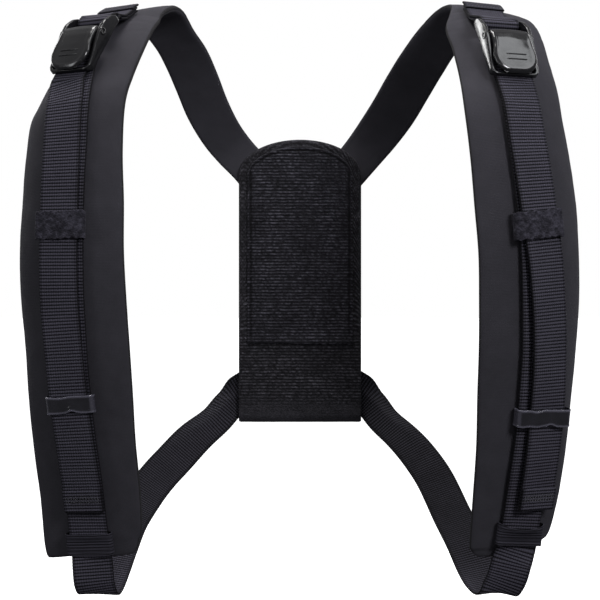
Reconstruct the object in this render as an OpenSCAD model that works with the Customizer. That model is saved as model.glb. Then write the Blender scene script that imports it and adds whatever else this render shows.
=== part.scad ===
// Padded shoulder harness: two shaped foam shoulder bands, a wrap-closed back
// pad, and two 25 mm adjuster webbings with lever cam buckles and keepers.
// Millimetres, +Z up, wearer's chest towards -Y, wearer's back towards +Y.
// Origin: between the two shoulders, at the height where the bands rest on them.

/* [Webbing] */
// Width of the adjuster webbing
web_w = 26; // [22:0.5:26]
// Thickness of the adjuster webbing
web_t = 1.5; // [1.2:0.1:1.6]
// Free gap between the plies where the tail lies on the main run
ply_gap = 0.5; // [0.3:0.1:0.6]

/* [Shoulder bands] */
// Thickness of the outer jersey
skin_t = 0.6; // [0.4:0.1:0.7]
// Scale on the foam core's thickness
foam_k = 1.0; // [0.8:0.05:1.05]
// Gap left between the laminated layers
lam_gap = 0.2; // [0.15:0.05:0.3]

/* [Buckle] */
// Outside width of the buckle frame
bk_w = 33; // [33:0.5:36]
// Thickness of each side wall
bk_wall = 2.6; // [2.2:0.1:2.8]
// Radius of the lever's hinge pin
pin_r = 1.25; // [1:0.05:1.4]
// Radial running clearance of the lever on its pin
pin_clear = 0.05; // [0.02:0.01:0.09]
// Number of grip ridges on the lever's tip
grip_n = 2; // [1:1:3]

/* [Back pad] */
// Width of the back pad
pad_w = 87; // [80:1:92]
// Height of the back pad
pad_h = 200; // [190:1:206]
// Height of the rounded top
pad_round = 27; // [20:1:40]
// Foam thickness of the back pad
pad_foam = 3; // [2:0.25:3]

/* [Keepers] */
// Length of the upper pile keeper along the webbing
keep_up_l = 17; // [12:1:20]
// Length of the moulded sliding keeper along the webbing
keep_slide_l = 11; // [8:1:14]
// Length of the lower webbing keeper along the webbing
keep_low_l = 14; // [10:1:16]

/* [Hidden] */

// Guide of a shoulder band: the outer face under the webbing, from the front
// bottom end, up the chest, over the shoulder and down to the back pad.
// [x, y, z, normal azimuth, normal elevation, inner half width,
//  outer half width, inner drop, outer drop, foam thickness, edge skew]
GUIDE_L = [
  [-132,   -65, -356,  12,   0, 24, 26.5,  3,  6, 2.6,  5],
  [-132,   -66, -353,  12,   0, 30, 33.5,  3,  8, 3.6,  5],
  [-133,   -68, -346,  12,   0, 33, 36,  4,  9, 4.0,  5],
  [-135.5, -75, -318,  14,   0, 35, 37,  5, 12, 4.0,  3],
  [-139,   -84, -285,  16,   0, 36, 39,  6, 15, 4.0,  1],
  [-142.5, -90, -254,  17,   0, 38, 39.5,  7, 18, 4.0,  0],
  [-145,   -94, -222,  18,   0, 38.5, 40,  8, 20, 4.0,  0],
  [-147,   -96, -191,  18,   0, 38.5, 40.5,  8, 20, 4.0,  0],
  [-147.5, -97, -160,  18,   0, 37.5, 41,  8, 20, 4.0,  0],
  [-147,   -96, -129,  19,   3, 37, 40.5,  8, 20, 4.0,  0],
  [-146,   -92,  -97,  21,   9, 35, 40,  8, 18, 4.0,  0],
  [-145,   -84,  -67,  24,  20, 35, 38,  9, 15, 4.0,  0],
  [-142,   -70,  -47,  26,  34, 37, 31,  9, 11, 4.0,  0],
  [-134.5, -52,  -28,  25,  48, 36, 23,  8,  7, 4.0,  0],
  [-127.5, -33,  -13,  19,  61, 34, 18,  6,  5, 3.6,  0],
  [-121,   -14,   -2,  11,  75, 32, 17,  5,  4, 3.4,  0],
  [-109,     5,  3.5,  10,  91, 27, 16.5,  3,  2, 3.2,  0],
  [ -99,    22,    1,   8, 108, 22.5, 14,  1,  1, 3.0,  0],
  [ -89,    39,  -10,   7, 128, 18, 13,  1,  1, 2.8,  0],
  [ -80,    54,  -23,   5, 144, 17, 14.5,  0,  0, 2.6,  0],
  [ -72,    66,  -38,   4, 155, 15.5, 16,  0,  0, 2.4,  0],
  [ -64,    77,  -55,   3, 163, 14, 17,  0,  0, 2.2,  0],
  [ -55,    86,  -71,   1, 171, 13, 16.5,  0,  0, 2.0,  0],
  [ -46,  91.4,  -84,   0, 178, 13, 15,  0,  0, 1.8,  0],
  [ -36,  92.4,  -97,   0, 180, 14, 13,  0,  0, 1.8,  0],
  [ -26,  92.4, -110,   0, 180, 14, 13,  0,  0, 1.8,  0],
  [ -17,  92.4, -122,   0, 180, 13, 13,  0,  0, 1.8,  0]
];
GUIDE_R = [
  [136.5, -65, -353,  14,   0, 21, 17,  3,  5, 2.6, -6],
  [137,   -66, -350,  14,   0, 27, 22,  3,  7, 3.6, -6],
  [138,   -68, -344,  15,   0, 29.5, 27,  4,  9, 4.0, -6],
  [141.5, -75, -316,  18,   0, 32, 32.5,  5, 13, 4.0, -4],
  [145,   -84, -285,  20,   0, 34.5, 35,  6, 16, 4.0, -1],
  [147.5, -90, -254,  21,   0, 36.5, 36.5,  8, 18, 4.0,  0],
  [149,   -94, -222,  22,   0, 37.5, 39.5,  8, 20, 4.0,  0],
  [149,   -96, -191,  22,   0, 37.5, 41.5,  8, 20, 4.0,  0],
  [148,   -97, -160,  22,   0, 37, 42,  8, 20, 4.0,  0],
  [145,   -96, -129,  22,   3, 36.5, 43.5,  8, 20, 4.0,  0],
  [141,   -92,  -97,  23,   9, 35, 43.5,  8, 18, 4.0,  0],
  [137,   -84,  -67,  22,  20, 34, 41.5,  8, 15, 4.0,  0],
  [133,   -70,  -46,  17,  34, 31.5, 39.5,  8, 11, 4.0,  0],
  [129.5, -52,  -27,  14,  48, 31, 37,  7,  7, 4.0,  0],
  [126,   -33,  -12,  10,  61, 31, 36,  5,  4, 3.6,  0],
  [123,   -14,    0,   7,  75, 25, 33,  4,  3, 3.4,  0],
  [117,     5,    6,   9,  91, 18, 29,  2,  2, 3.2,  0],
  [107,    21,    3,   9, 106, 16.5, 21,  1,  1, 3.0,  0],
  [ 95,    36,  -10,   8, 126, 16, 17,  1,  1, 2.8,  0],
  [ 84,    52,  -27,   5, 143, 16.5, 16.5,  0,  0, 2.6,  0],
  [ 75,    66,  -42,   4, 155, 16.5, 16.5,  0,  0, 2.4,  0],
  [ 66,    77,  -57,   3, 163, 16, 16.5,  0,  0, 2.2,  0],
  [ 56,    86,  -71,   1, 171, 15, 16,  0,  0, 2.0,  0],
  [ 46,  91.4,  -84,   0, 178, 14, 15,  0,  0, 1.8,  0],
  [ 36,  92.4,  -97,   0, 180, 14, 14,  0,  0, 1.8,  0],
  [ 26,  92.4, -110,   0, 180, 14, 13,  0,  0, 1.8,  0],
  [ 17,  92.4, -122,   0, 180, 13, 13,  0,  0, 1.8,  0]
];
// Sideways lie of the two plies, [guide position, mm towards the arm], and
// the tilt of the tail on the main run, [guide position, degrees]
MAIN_LIE_L = [[2.5, 0], [5, -0.6], [6.5, -1.5], [9.5, -1.8], [11.3, -3.2]];
TAIL_LIE_L = [[2.5, 0], [5, 0.6], [6.5, 1.5], [10, 1.5], [12.5, 0]];
TAIL_TILT_L = [[2.5, 0], [14, 0]];
MAIN_LIE_R = [[0, 0], [14, 0]];
TAIL_LIE_R = [[2.5, 6.5], [5, 6], [6.5, 4.5], [8.5, 1.5], [10, 0.5], [12, 0]];
TAIL_TILT_R = [[2.5, 12], [3.8, 11], [4.7, 7], [5.6, 11], [7, 10], [8.5, 4], [10, 0]];
// Webbing from inside the back pad, round the wearer's side and through the
// bottom turn: [x, y, z, width direction x, y, z]
REAR_L = [
  [ -14, 91.2, -240, -0.62, 0.00,  0.78],
  [ -32, 91.2, -251, -0.62, 0.00,  0.78],
  [ -49, 91.3, -262, -0.64, 0.00,  0.77],
  [ -60, 86,   -274, -0.66, 0.06,  0.75],
  [ -73, 77,   -286, -0.68, 0.10,  0.73],
  [ -86, 64,   -300, -0.72, 0.10,  0.69],
  [ -97, 48,   -312, -0.76, 0.10,  0.64],
  [-107, 28,   -325, -0.84, 0.08,  0.54],
  [-115,  5,   -339, -0.91, 0.05,  0.41],
  [-120, -18,  -354, -0.97, 0.02,  0.22],
  [-124, -38,  -368, -1.00, 0.00,  0.06],
  [-127, -52,  -377, -1.00, 0.00,  0.03],
  [-129, -61,  -378.5, -1.00, 0.00,  0.03],
  [-131, -67,  -372, -1.00, 0.00,  0.03],
  [-132, -69,  -361, -1.00, 0.03,  0.02]
];
REAR_R = [
  [  14, 91.2, -240,  0.60, 0.00,  0.80],
  [  32, 91.2, -250,  0.60, 0.00,  0.80],
  [  49, 91.4, -261,  0.60, 0.00,  0.79],
  [  60, 86,   -274,  0.58, 0.18,  0.77],
  [  71, 77,   -285,  0.62, 0.34,  0.68],
  [  82, 65,   -298,  0.70, 0.40,  0.56],
  [  91, 50,   -311,  0.78, 0.34,  0.50],
  [  98, 31,   -325,  0.84, 0.25,  0.44],
  [ 104,  9,   -339,  0.90, 0.16,  0.38],
  [ 110, -13,  -352,  0.95, 0.08,  0.28],
  [ 116, -33,  -367,  0.99, 0.02,  0.12],
  [ 122, -49,  -375.5,  1.00, 0.00,  0.03],
  [ 128, -60,  -378,  1.00, 0.00,  0.00],
  [ 133, -66,  -370,  1.00, 0.00, -0.02],
  [ 136, -69,  -358, 1.00, 0.02, -0.02]
];
SUB = 3;                 // stations per guide row
ACROSS = 3;              // facets on each half of a band
BUCKLE_L = 12.4;         // guide position under the middle of each buckle
BUCKLE_R = 12.3;

// ---------- curve and frame functions ----------
function cr(a, b, c, d, t) =
  0.5 * (2 * b + (c - a) * t + (2 * a - 5 * b + 4 * c - d) * t * t
  + (3 * b - a - 3 * c + d) * t * t * t);
function row_at(tab, v) = let (u = max(0, min(len(tab) - 1, v)), i = min(floor(u), len(tab) - 2))
  cr(tab[max(i - 1, 0)], tab[i], tab[i + 1], tab[min(i + 2, len(tab) - 1)], u - i);
function unit(v) = v / norm(v);
function xyz(r) = [r[0], r[1], r[2]];
// [point, outward normal, width direction towards the arm, tangent, row]
function station_at(tab, side, u, h) = let (
    s = row_at(tab, u),
    t = unit(xyz(row_at(tab, u + h)) - xyz(row_at(tab, u - h))),
    a = s[3], e = s[4],
    n0 = [side * sin(a), -cos(a) * cos(e), cos(a) * sin(e)],
    nn = unit(n0 - (n0 * t) * t))
  [xyz(s), nn, side * cross(t, nn), t, s];
function stations(tab, side) = [for (i = [0:SUB * (len(tab) - 1)]) station_at(tab, side, i / SUB, 1 / SUB)];
// A point across a band: k from -1 (neck edge) to 1 (arm edge), off along the surface normal
function across(st, k, off) = let (
    w = k < 0 ? st[4][5] : st[4][6], c = k < 0 ? st[4][7] : st[4][8],
    slope = 2 * c * abs(k) / w * (k < 0 ? -1 : 1),
    nk = unit(st[1] + slope * st[2]))
  st[0] + st[2] * (k * w) - st[1] * (c * k * k) - st[3] * (st[4][10] * k) + nk * off;

// ---------- generic closed sweep over rings of equal length ----------
module sweep(rings) {
  n = len(rings[0]);
  m = len(rings);
  h = n / 2;
  polyhedron(
    points = [for (r = rings) for (p = r) p],
    faces = concat(
      [for (i = [0:m - 2], j = [0:n - 1]) [i * n + j, (i + 1) * n + j, (i + 1) * n + (j + 1) % n]],
      [for (i = [0:m - 2], j = [0:n - 1]) [i * n + j, (i + 1) * n + (j + 1) % n, i * n + (j + 1) % n]],
      [for (j = [0:h - 2]) [j, j + 1, n - 1 - j]],
      [for (j = [0:h - 2]) [j + 1, n - 2 - j, n - 1 - j]],
      [for (j = [0:h - 2]) let (b = (m - 1) * n) [b + j + 1, b + j, b + n - 1 - j]],
      [for (j = [0:h - 2]) let (b = (m - 1) * n) [b + n - 2 - j, b + j + 1, b + n - 1 - j]]));
}

// One laminated layer of a band, between two offsets below its outer face
function layer_ring(st, side, top, bottom) = let (
    outer = [for (k = [-ACROSS:ACROSS]) across(st, side * k / ACROSS, top)],
    inner = [for (k = [ACROSS:-1:-ACROSS]) across(st, side * k / ACROSS, bottom)])
  concat(outer, inner);
module band_layer(tab, side, a, b) {
  // a and b give the offset as [fixed, share of the foam thickness]
  sweep([for (st = stations(tab, side))
    layer_ring(st, side, -a[0] - a[1] * st[4][9] * foam_k, -b[0] - b[1] * st[4][9] * foam_k)]);
}

// ---------- flat webbing swept through [point, width direction] ----------
function web_rings(path, w, t) = [for (i = [0:len(path) - 1]) let (
    tg = unit(path[min(i + 1, len(path) - 1)][0] - path[max(i - 1, 0)][0]),
    b = unit(cross(tg, path[i][1])), u = cross(b, tg), p = path[i][0])
  [p + u * w / 2 + b * t / 2, p - u * w / 2 + b * t / 2,
   p - u * w / 2 - b * t / 2, p + u * w / 2 - b * t / 2]];
module ribbon(path, w, t) sweep(web_rings(path, w, t));

// Placement in the local frame of a guide station: x across, y along, z outward
function place(st, side) = let (x = side * st[2], y = st[3], z = st[1], p = st[0])
  [[x[0], y[0], z[0], p[0]], [x[1], y[1], z[1], p[1]], [x[2], y[2], z[2], p[2]], [0, 0, 0, 1]];
function to_world(m, p) = let (q = m * [p[0], p[1], p[2], 1]) [q[0], q[1], q[2]];
module at(st, side) multmatrix(place(st, side)) children();

// ---------- buckle, in its own frame: base underside at z = 0 ----------
bk_lift = 3.0;                     // base above the band's outer face
bk_in = bk_w - 2 * bk_wall;        // clear width between the walls
bar_y = 1;   bar_z = 1.9;  bar_r = 1.9;
anc_y = 20.8; anc_z = 2.2; anc_r = 2.0;
pin_y = 5.5; pin_z = 8.2;
lip_y = -23.7;                     // bottom end of the frame
tip_y = -24.8;                     // bottom end of the lever
main_z = bar_z - bar_r - 0.2 - web_t / 2;   // main run under the turn bar
turn_r = bar_r + 0.2 + web_t / 2;
tab_r = anc_r + 0.2 + web_t / 2;
wall_top = [[23.5, 0], [23.5, 4.6], [19.5, 8.2], [12, 11.1], [4, 11.1], [-1, 10.0], [-8, 8.2], [-15, 6.4], [-20, 5.4], [lip_y, 5.0], [lip_y, 0]];
lever_top = [[8.6, 9.4], [7.4, 12.0], [4, 13.2], [-1, 13.3], [-8, 12.3], [-15, 10.8], [-21, 9.2], [-24, 8.1], [tip_y, 7.3], [-24.2, 6.5], [-20, 7.2], [-15, 8.2], [-8, 9.3], [-2, 8.7]];
cam = [[-2, 8.7], [0, 7.0], [0.6, 6.0], [1.6, 5.75], [2.6, 5.9], [3.4, 5.4], [5.5, 5.0], [7.8, 6.0], [8.6, 8.0], [8.6, 9.4]];

module slab_x(profile, w) rotate([90, 0, 90]) translate([0, 0, -w / 2]) linear_extrude(w) polygon(profile);
module rod_x(y, z, r, w) translate([-w / 2, y, z]) rotate([0, 90, 0]) cylinder(r = r, h = w, $fn = 48);
// Plan outline of the frame: square at the top, corners of radius r at the lip
module frame_plan(w, y1, r) union() {
  translate([-w / 2, lip_y + r, -1]) cube([w, y1 - lip_y - r, 20]);
  translate([-w / 2 + r, lip_y, -1]) cube([w - 2 * r, r + 1, 20]);
  for (s = [-1, 1]) translate([s * (w / 2 - r), lip_y + r, -1]) cylinder(r = r, h = 20, $fn = 48);
}

module buckle_frame() color([0.06, 0.06, 0.065]) {
  difference() {
    union() {
      intersection() {
        slab_x(wall_top, bk_w);
        for (s = [-1, 1]) translate([s * (bk_w - bk_wall) / 2 - bk_wall / 2, -30, -1]) cube([bk_wall, 60, 20]);
        frame_plan(bk_w, 28, 4.5);
      }
      // lip that bridges the webbing at the bottom
      intersection() {
        translate([-bk_w / 2, lip_y, 2.0]) cube([bk_w, 2.0, 3.0]);
        frame_plan(bk_w, 28, 4.5);
      }
      rod_x(bar_y, bar_z, bar_r, bk_in + 1);
      rod_x(anc_y, anc_z, anc_r, bk_in + 1);
    }
    rod_x(pin_y, pin_z, pin_r + 0.02, bk_w + 2);
  }
}

lever_w = bk_in - 1.0;             // between the walls
thumb_w = bk_in + 1.8;             // thumb plate, riding above the walls
module buckle_lever() color([0.08, 0.08, 0.085]) {
  r = 11.5;
  difference() {
    union() {
      intersection() {
        slab_x(concat(lever_top, [for (i = [1:len(cam) - 2]) cam[i]]), thumb_w);
        linear_extrude(20) union() {
          translate([-lever_w / 2, -9.5]) square([lever_w, 30]);
          hull() {
            translate([-lever_w / 2, -6.6]) square([lever_w, 0.1]);
            translate([-thumb_w / 2, -9.6]) square([thumb_w, 0.1]);
            for (s = [-1, 1]) translate([s * (thumb_w / 2 - r), tip_y + r]) circle(r, $fn = 64);
          }
        }
      }
      // grip ridges across the tip
      for (i = [0:grip_n - 1]) rod_x(-12.7 - 3.5 * i, 11.01 - 0.85 * i, 0.55, 13);
    }
    rod_x(pin_y, pin_z, pin_r + pin_clear, bk_w);
  }
}

module buckle_pin() color([0.45, 0.45, 0.47]) rod_x(pin_y, pin_z, pin_r, bk_w - 1);

// ---------- webbing paths ----------
function g_off(st, off, shift) = [st[0] + st[1] * off + st[2] * shift, st[2]];
// Set out from the middle of the lip: the top leans towards the neck (yaw) and lifts off the band (tilt)
function buckle_station(tab, side) = let (
    st = station_at(tab, side, side < 0 ? BUCKLE_L : BUCKLE_R, 0.7),
    yaw = side < 0 ? 8 : 4.5, tilt = 6,
    lip = st[0] + st[1] * bk_lift - st[3] * (side < 0 ? 16.5 : 18.5),
    w = st[2] * cos(yaw) + st[3] * sin(yaw), t = st[3] * cos(yaw) - st[2] * sin(yaw),
    t2 = t * cos(tilt) + st[1] * sin(tilt))
  [lip - t2 * lip_y, st[1] * cos(tilt) - t * sin(tilt), w, t2, st[4]];
main_off = 2.5;                          // centre of the main run above the band
tail_off = main_off + web_t + ply_gap;   // centre of the tail
RUN_FROM = 1.6;                          // guide position where the front run starts
RUN_TO = 11.3;                           // guide position just below the buckle
// Tail point: tilted about the strap's length, its lowest edge clear of the main run
function tail_pt(st, u, side, lie, tilt) = let (
    b = lookup(u, tilt), v = lookup(u, lie), h = max(0, (u - 10.2) * 0.3) + (web_w / 2 - v) * sin(b))
  [st[0] + st[1] * (tail_off + h) + st[2] * v, st[2] * cos(b) - st[1] * sin(b)];
function webbing_path(tab, rear, side, tail_to, mlie, tlie, tilt) = let (
    m = place(buckle_station(tab, side), side), wdir = side * [m[0][0], m[1][0], m[2][0]],
    n = 3 * (len(rear) - 1))
  concat(
    [for (i = [0:n]) let (r = row_at(rear, i / 3)) [xyz(r), unit([r[3], r[4], r[5]])]],
    [for (u = [RUN_FROM:0.323:RUN_TO]) g_off(station_at(tab, side, u, 0.3), main_off, lookup(u, mlie))],
    [for (q = [[-18, 0.75], [-10, 0.35], [-4, 0]]) [to_world(m, [side * q[1] * lookup(RUN_TO, mlie), q[0], main_z]), wdir]],
    [for (a = [-90:22.5:90]) [to_world(m, [0, bar_y + turn_r * cos(a), bar_z + turn_r * sin(a)]), wdir]],
    [for (q = [[-5, 4.4], [-10.5, 2.8], [-16, 1.4], [-20.5, 0.95], [-25, 0.95], [-29.5, 1.0]]) [to_world(m, [0, q[0], q[1]]), wdir]],
    [for (u = [RUN_TO - 0.35:-0.31:tail_to]) tail_pt(station_at(tab, side, u, 0.3), u, side, tlie, tilt)]);

TAIL_END = 2.85;
module adjuster_webbing_left() color([0.13, 0.13, 0.15])
  ribbon(webbing_path(GUIDE_L, REAR_L, -1, TAIL_END, MAIN_LIE_L, TAIL_LIE_L, TAIL_TILT_L), web_w, web_t);
module adjuster_webbing_right() color([0.13, 0.13, 0.15])
  ribbon(webbing_path(GUIDE_R, REAR_R, 1, TAIL_END, MAIN_LIE_R, TAIL_LIE_R, TAIL_TILT_R), web_w, web_t);

// Anchor tab: a doubled webbing end round the buckle's upper bar, sewn to the band
TAB_FROM = 14.175;  TAB_TO = 15.0;
tab_lie = -3;                            // the tab is sewn on a little towards the neck
function tab_up(u) = max(0, 14.5 - u) * 2.5;
function tab_path(tab, side) = let (
    m = place(buckle_station(tab, side), side),
    wdir = side * [m[0][0], m[1][0], m[2][0]])
  concat(
    [for (u = [TAB_TO:-0.275:TAB_FROM]) g_off(station_at(tab, side, u, 0.3), 0.3 + web_t / 2 + tab_up(u), tab_lie)],
    [for (q = [[1, 27.5, -1.9], [0, 24, -1.1]]) [to_world(m, [side * q[0], q[1], q[2]]), wdir]],
    [for (a = [270:-22.5:90]) [to_world(m, [0, anc_y + tab_r * cos(a), anc_z + tab_r * sin(a)]), wdir]],
    [for (q = [[0, 24, 4.3], [1, 27.5, 2.0]]) [to_world(m, [side * q[0], q[1], q[2]]), wdir]],
    [for (u = [TAB_FROM:0.275:TAB_TO + 0.01]) g_off(station_at(tab, side, u, 0.3), 0.7 + 1.5 * web_t + tab_up(u), tab_lie)]);
module anchor_tab(tab, side) color([0.14, 0.14, 0.16]) ribbon(tab_path(tab, side), web_w, web_t);
module anchor_stitches(tab, side) color([0.2, 0.2, 0.22]) {
  for (j = [0, 1]) at(station_at(tab, side, TAB_TO - 0.12 - 0.22 * j, 0.3), side) for (k = [-4:4])
    translate([k * 2.5 + side * tab_lie, 0, 0.7 + 2 * web_t + 0.35])
      rotate([0, 90, (k % 2 == 0 ? 40 : -40)]) translate([0, 0, -1.4]) cylinder(r = 0.25, h = 2.8, $fn = 14);
}

// Bar tack across the folded tail end
module tail_bartack(tab, side, u, tlie, tilt) color([0.2, 0.2, 0.22]) {
  st = station_at(tab, side, u, 0.3);
  q = tail_pt(st, u, side, tlie, tilt);
  at([q[0], unit(st[1] * cos(lookup(u, tilt)) + st[2] * sin(lookup(u, tilt))), q[1], st[3]], side) for (k = [-4:4])
    translate([k * 2.4, 0, web_t / 2 + 0.3])
      rotate([0, 90, (k % 2 == 0 ? 50 : -50)]) translate([0, 0, -1.5]) cylinder(r = 0.25, h = 3, $fn = 14);
}

// ---------- keepers: closed loops round the webbing ----------
module loop_tube(w, h, wall, len) rotate([90, 0, 0]) translate([0, 0, -len / 2]) linear_extrude(len) difference() {
  r = 1.6;
  union() {
    square([w + 2 * wall - 2 * r, h + 2 * wall], center = true);
    square([w + 2 * wall, h + 2 * wall - 2 * r], center = true);
    for (sx = [-1, 1], sy = [-1, 1]) translate([sx * (w / 2 + wall - r), sy * (h / 2 + wall - r)]) circle(r = r, $fn = 32);
  }
  square([w, h], center = true);
}
UP_U = 8.5;  SLIDE_L = 4.95;  SLIDE_R = 4.7;  LOW_L = 2.05;  LOW_R = 2.25;
mid_off = (main_off + tail_off) / 2;     // middle of the two plies
// Height a tilted tail needs inside a keeper
function tilt_rise(u, lie, tilt) = (web_w - lookup(u, lie)) * sin(lookup(u, tilt)) + web_t * 0.2;
module upper_keeper(tab, side, lie, tilt) color([0.1, 0.1, 0.11]) {
  h = tilt_rise(UP_U, lie, tilt);
  at(station_at(tab, side, UP_U, 0.3), side) translate([side < 0 ? -0.6 : -0.4, 0, mid_off + 0.15 + h / 2])
    loop_tube(web_w + 5.6, 2 * web_t + ply_gap + 0.9 + h, 0.9, keep_up_l);
}
module sliding_keeper(tab, side, u, lie, tilt) color([0.1, 0.1, 0.12]) {
  h = tilt_rise(u, lie, tilt);
  x = lookup(u, lie) / 2 * side;
  at(station_at(tab, side, u, 0.3), side) translate([side < 0 ? 0 : x, 0, mid_off + h / 2])
    loop_tube(web_w + 2.6 + (side < 0 ? 1.2 : 2 * abs(x)), 2 * web_t + ply_gap + 0.7 + h, 1.0, keep_slide_l);
}
module lower_keeper(tab, side, u) color([0.12, 0.12, 0.13])
  at(station_at(tab, side, u, 0.3), side) translate([0, 0, main_off + 0.55]) loop_tube(web_w + 3.0, web_t + 1.7, 0.9, keep_low_l);

// ---------- back pad ----------
pad_bot = -278;
pad_top = pad_bot + pad_h + 1;
y_face = 84.6;                            // front of the pad's face fabric
y_foam = y_face + 0.8;
y_back = y_foam + 0.1 + pad_foam;         // rear of the pad's foam
flap_t = 2.6;
flap_y = 95.2;                            // inner side of the flap
fold_y = (y_face + flap_y + flap_t) / 2;
fold_r = (flap_y + flap_t - y_face) / 2;
fold_z = pad_bot + fold_r;
fold_t = 1.6;                             // wall of the rolled edge
function dome(w, h, round, n) = concat([[-w / 2, 0], [w / 2, 0]],
  [for (i = [0:n]) let (a = i * 180 / n) [w / 2 * cos(a), h - round + round * pow(sin(a), 0.9)]]);
module panel(w, z0, z1, round, y0, t) translate([0, y0 + t, z0]) rotate([90, 0, 0]) linear_extrude(t) polygon(dome(w, z1 - z0, round, 28));
module back_pad_face() color([0.09, 0.09, 0.095]) panel(pad_w, fold_z, pad_top, pad_round, y_face, 0.8);
module back_pad_foam() color([0.07, 0.07, 0.07]) panel(pad_w - 1, fold_z + 0.1, pad_top - 0.5, pad_round, y_foam + 0.1, pad_foam);
module back_pad_inset() color([0.1, 0.1, 0.105]) panel(pad_w - 12, -222, pad_top - 5, pad_round - 4, y_face - 1.7, 1.6);
// Rolled bottom edge joining the pad to its wrap flap
module back_pad_fold() color([0.09, 0.09, 0.095]) translate([-pad_w / 2, fold_y, fold_z - 0.1]) rotate([90, 0, 90]) linear_extrude(pad_w) difference() {
  circle(r = fold_r, $fn = 64);
  circle(r = fold_r - fold_t, $fn = 64);
  translate([-20, 0]) square([40, 20]);
  translate([fold_t, -2.2]) square([20, 20]);
}
flap_ax_y = flap_y + flap_t / 2;
flap_ax_z = fold_z;
module back_flap() color([0.08, 0.08, 0.085]) {
  panel(pad_w - 1, flap_ax_z, pad_top - 0.5, pad_round, flap_y, flap_t);
  translate([-(pad_w - 1) / 2, flap_ax_y, flap_ax_z]) rotate([0, 90, 0]) cylinder(r = flap_t / 2, h = pad_w - 1, $fn = 48);
}
module hook_patch_upper() color([0.05, 0.05, 0.05]) translate([-26, flap_y - 1.05, -160]) cube([52, 1, 22]);
module hook_patch_lower() color([0.05, 0.05, 0.05]) translate([-26, flap_y - 1.05, -228]) cube([52, 1, 22]);

// Box stitching that holds the band ends and the webbing ends inside the wrap
module box_tack(y, cx, cz, ang, w, h) translate([cx, y, cz]) rotate([0, ang, 0]) for (s = [-1, 1]) {
  translate([-w / 2, 0, s * h / 2]) rotate([0, 90, 0]) cylinder(r = 0.3, h = w, $fn = 14);
  translate([s * (w / 2 + 0.7), 0, -h / 2]) cylinder(r = 0.3, h = h, $fn = 14);
}
module band_end_stitches() color([0.2, 0.2, 0.2]) for (s = [-1, 1]) box_tack(92.8, s * 24, -111, s * 50, 12, 18);
module webbing_end_stitches() color([0.2, 0.2, 0.2]) for (s = [-1, 1]) box_tack(92.4, s * 22, -246, s * 34, 12, 15);

// ---------- nodes ----------
sk = [skin_t, 0];
f0 = [skin_t + lam_gap, 0];
f1 = [skin_t + lam_gap, 1];
l0 = [skin_t + 2 * lam_gap, 1];
l1 = [2 * skin_t + 2 * lam_gap, 1];
color([0.17, 0.17, 0.18]) band_layer(GUIDE_L, -1, [0, 0], sk);  // band_skin_left
color([0.1, 0.1, 0.1]) band_layer(GUIDE_L, -1, f0, f1);  // band_foam_left
color([0.08, 0.08, 0.09]) band_layer(GUIDE_L, -1, l0, l1);  // band_lining_left
color([0.17, 0.17, 0.18]) band_layer(GUIDE_R, 1, [0, 0], sk);  // band_skin_right
color([0.1, 0.1, 0.1]) band_layer(GUIDE_R, 1, f0, f1);  // band_foam_right
color([0.08, 0.08, 0.09]) band_layer(GUIDE_R, 1, l0, l1);  // band_lining_right
adjuster_webbing_left();
adjuster_webbing_right();
anchor_tab(GUIDE_L, -1);  // anchor_tab_left
anchor_tab(GUIDE_R, 1);  // anchor_tab_right
anchor_stitches(GUIDE_L, -1);  // anchor_stitches_left
anchor_stitches(GUIDE_R, 1);  // anchor_stitches_right
tail_bartack(GUIDE_L, -1, 3.2, TAIL_LIE_L, TAIL_TILT_L);  // tail_bartack_left
tail_bartack(GUIDE_R, 1, 3.1, TAIL_LIE_R, TAIL_TILT_R);  // tail_bartack_right
at(buckle_station(GUIDE_L, -1), -1) buckle_frame();  // buckle_frame_left
at(buckle_station(GUIDE_R, 1), 1) buckle_frame();  // buckle_frame_right
at(buckle_station(GUIDE_L, -1), -1) buckle_lever();  // buckle_lever_left
at(buckle_station(GUIDE_R, 1), 1) buckle_lever();  // buckle_lever_right
at(buckle_station(GUIDE_L, -1), -1) buckle_pin();  // buckle_pin_left
at(buckle_station(GUIDE_R, 1), 1) buckle_pin();  // buckle_pin_right
upper_keeper(GUIDE_L, -1, TAIL_LIE_L, TAIL_TILT_L);  // upper_keeper_left
upper_keeper(GUIDE_R, 1, TAIL_LIE_R, TAIL_TILT_R);  // upper_keeper_right
sliding_keeper(GUIDE_L, -1, SLIDE_L, TAIL_LIE_L, TAIL_TILT_L);  // sliding_keeper_left
sliding_keeper(GUIDE_R, 1, SLIDE_R, TAIL_LIE_R, TAIL_TILT_R);  // sliding_keeper_right
lower_keeper(GUIDE_L, -1, LOW_L);  // lower_keeper_left
lower_keeper(GUIDE_R, 1, LOW_R);  // lower_keeper_right
back_pad_face();
back_pad_foam();
back_pad_inset();
back_pad_fold();
back_flap();
hook_patch_upper();
hook_patch_lower();
band_end_stitches();
webbing_end_stitches();
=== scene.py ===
import math

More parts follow.
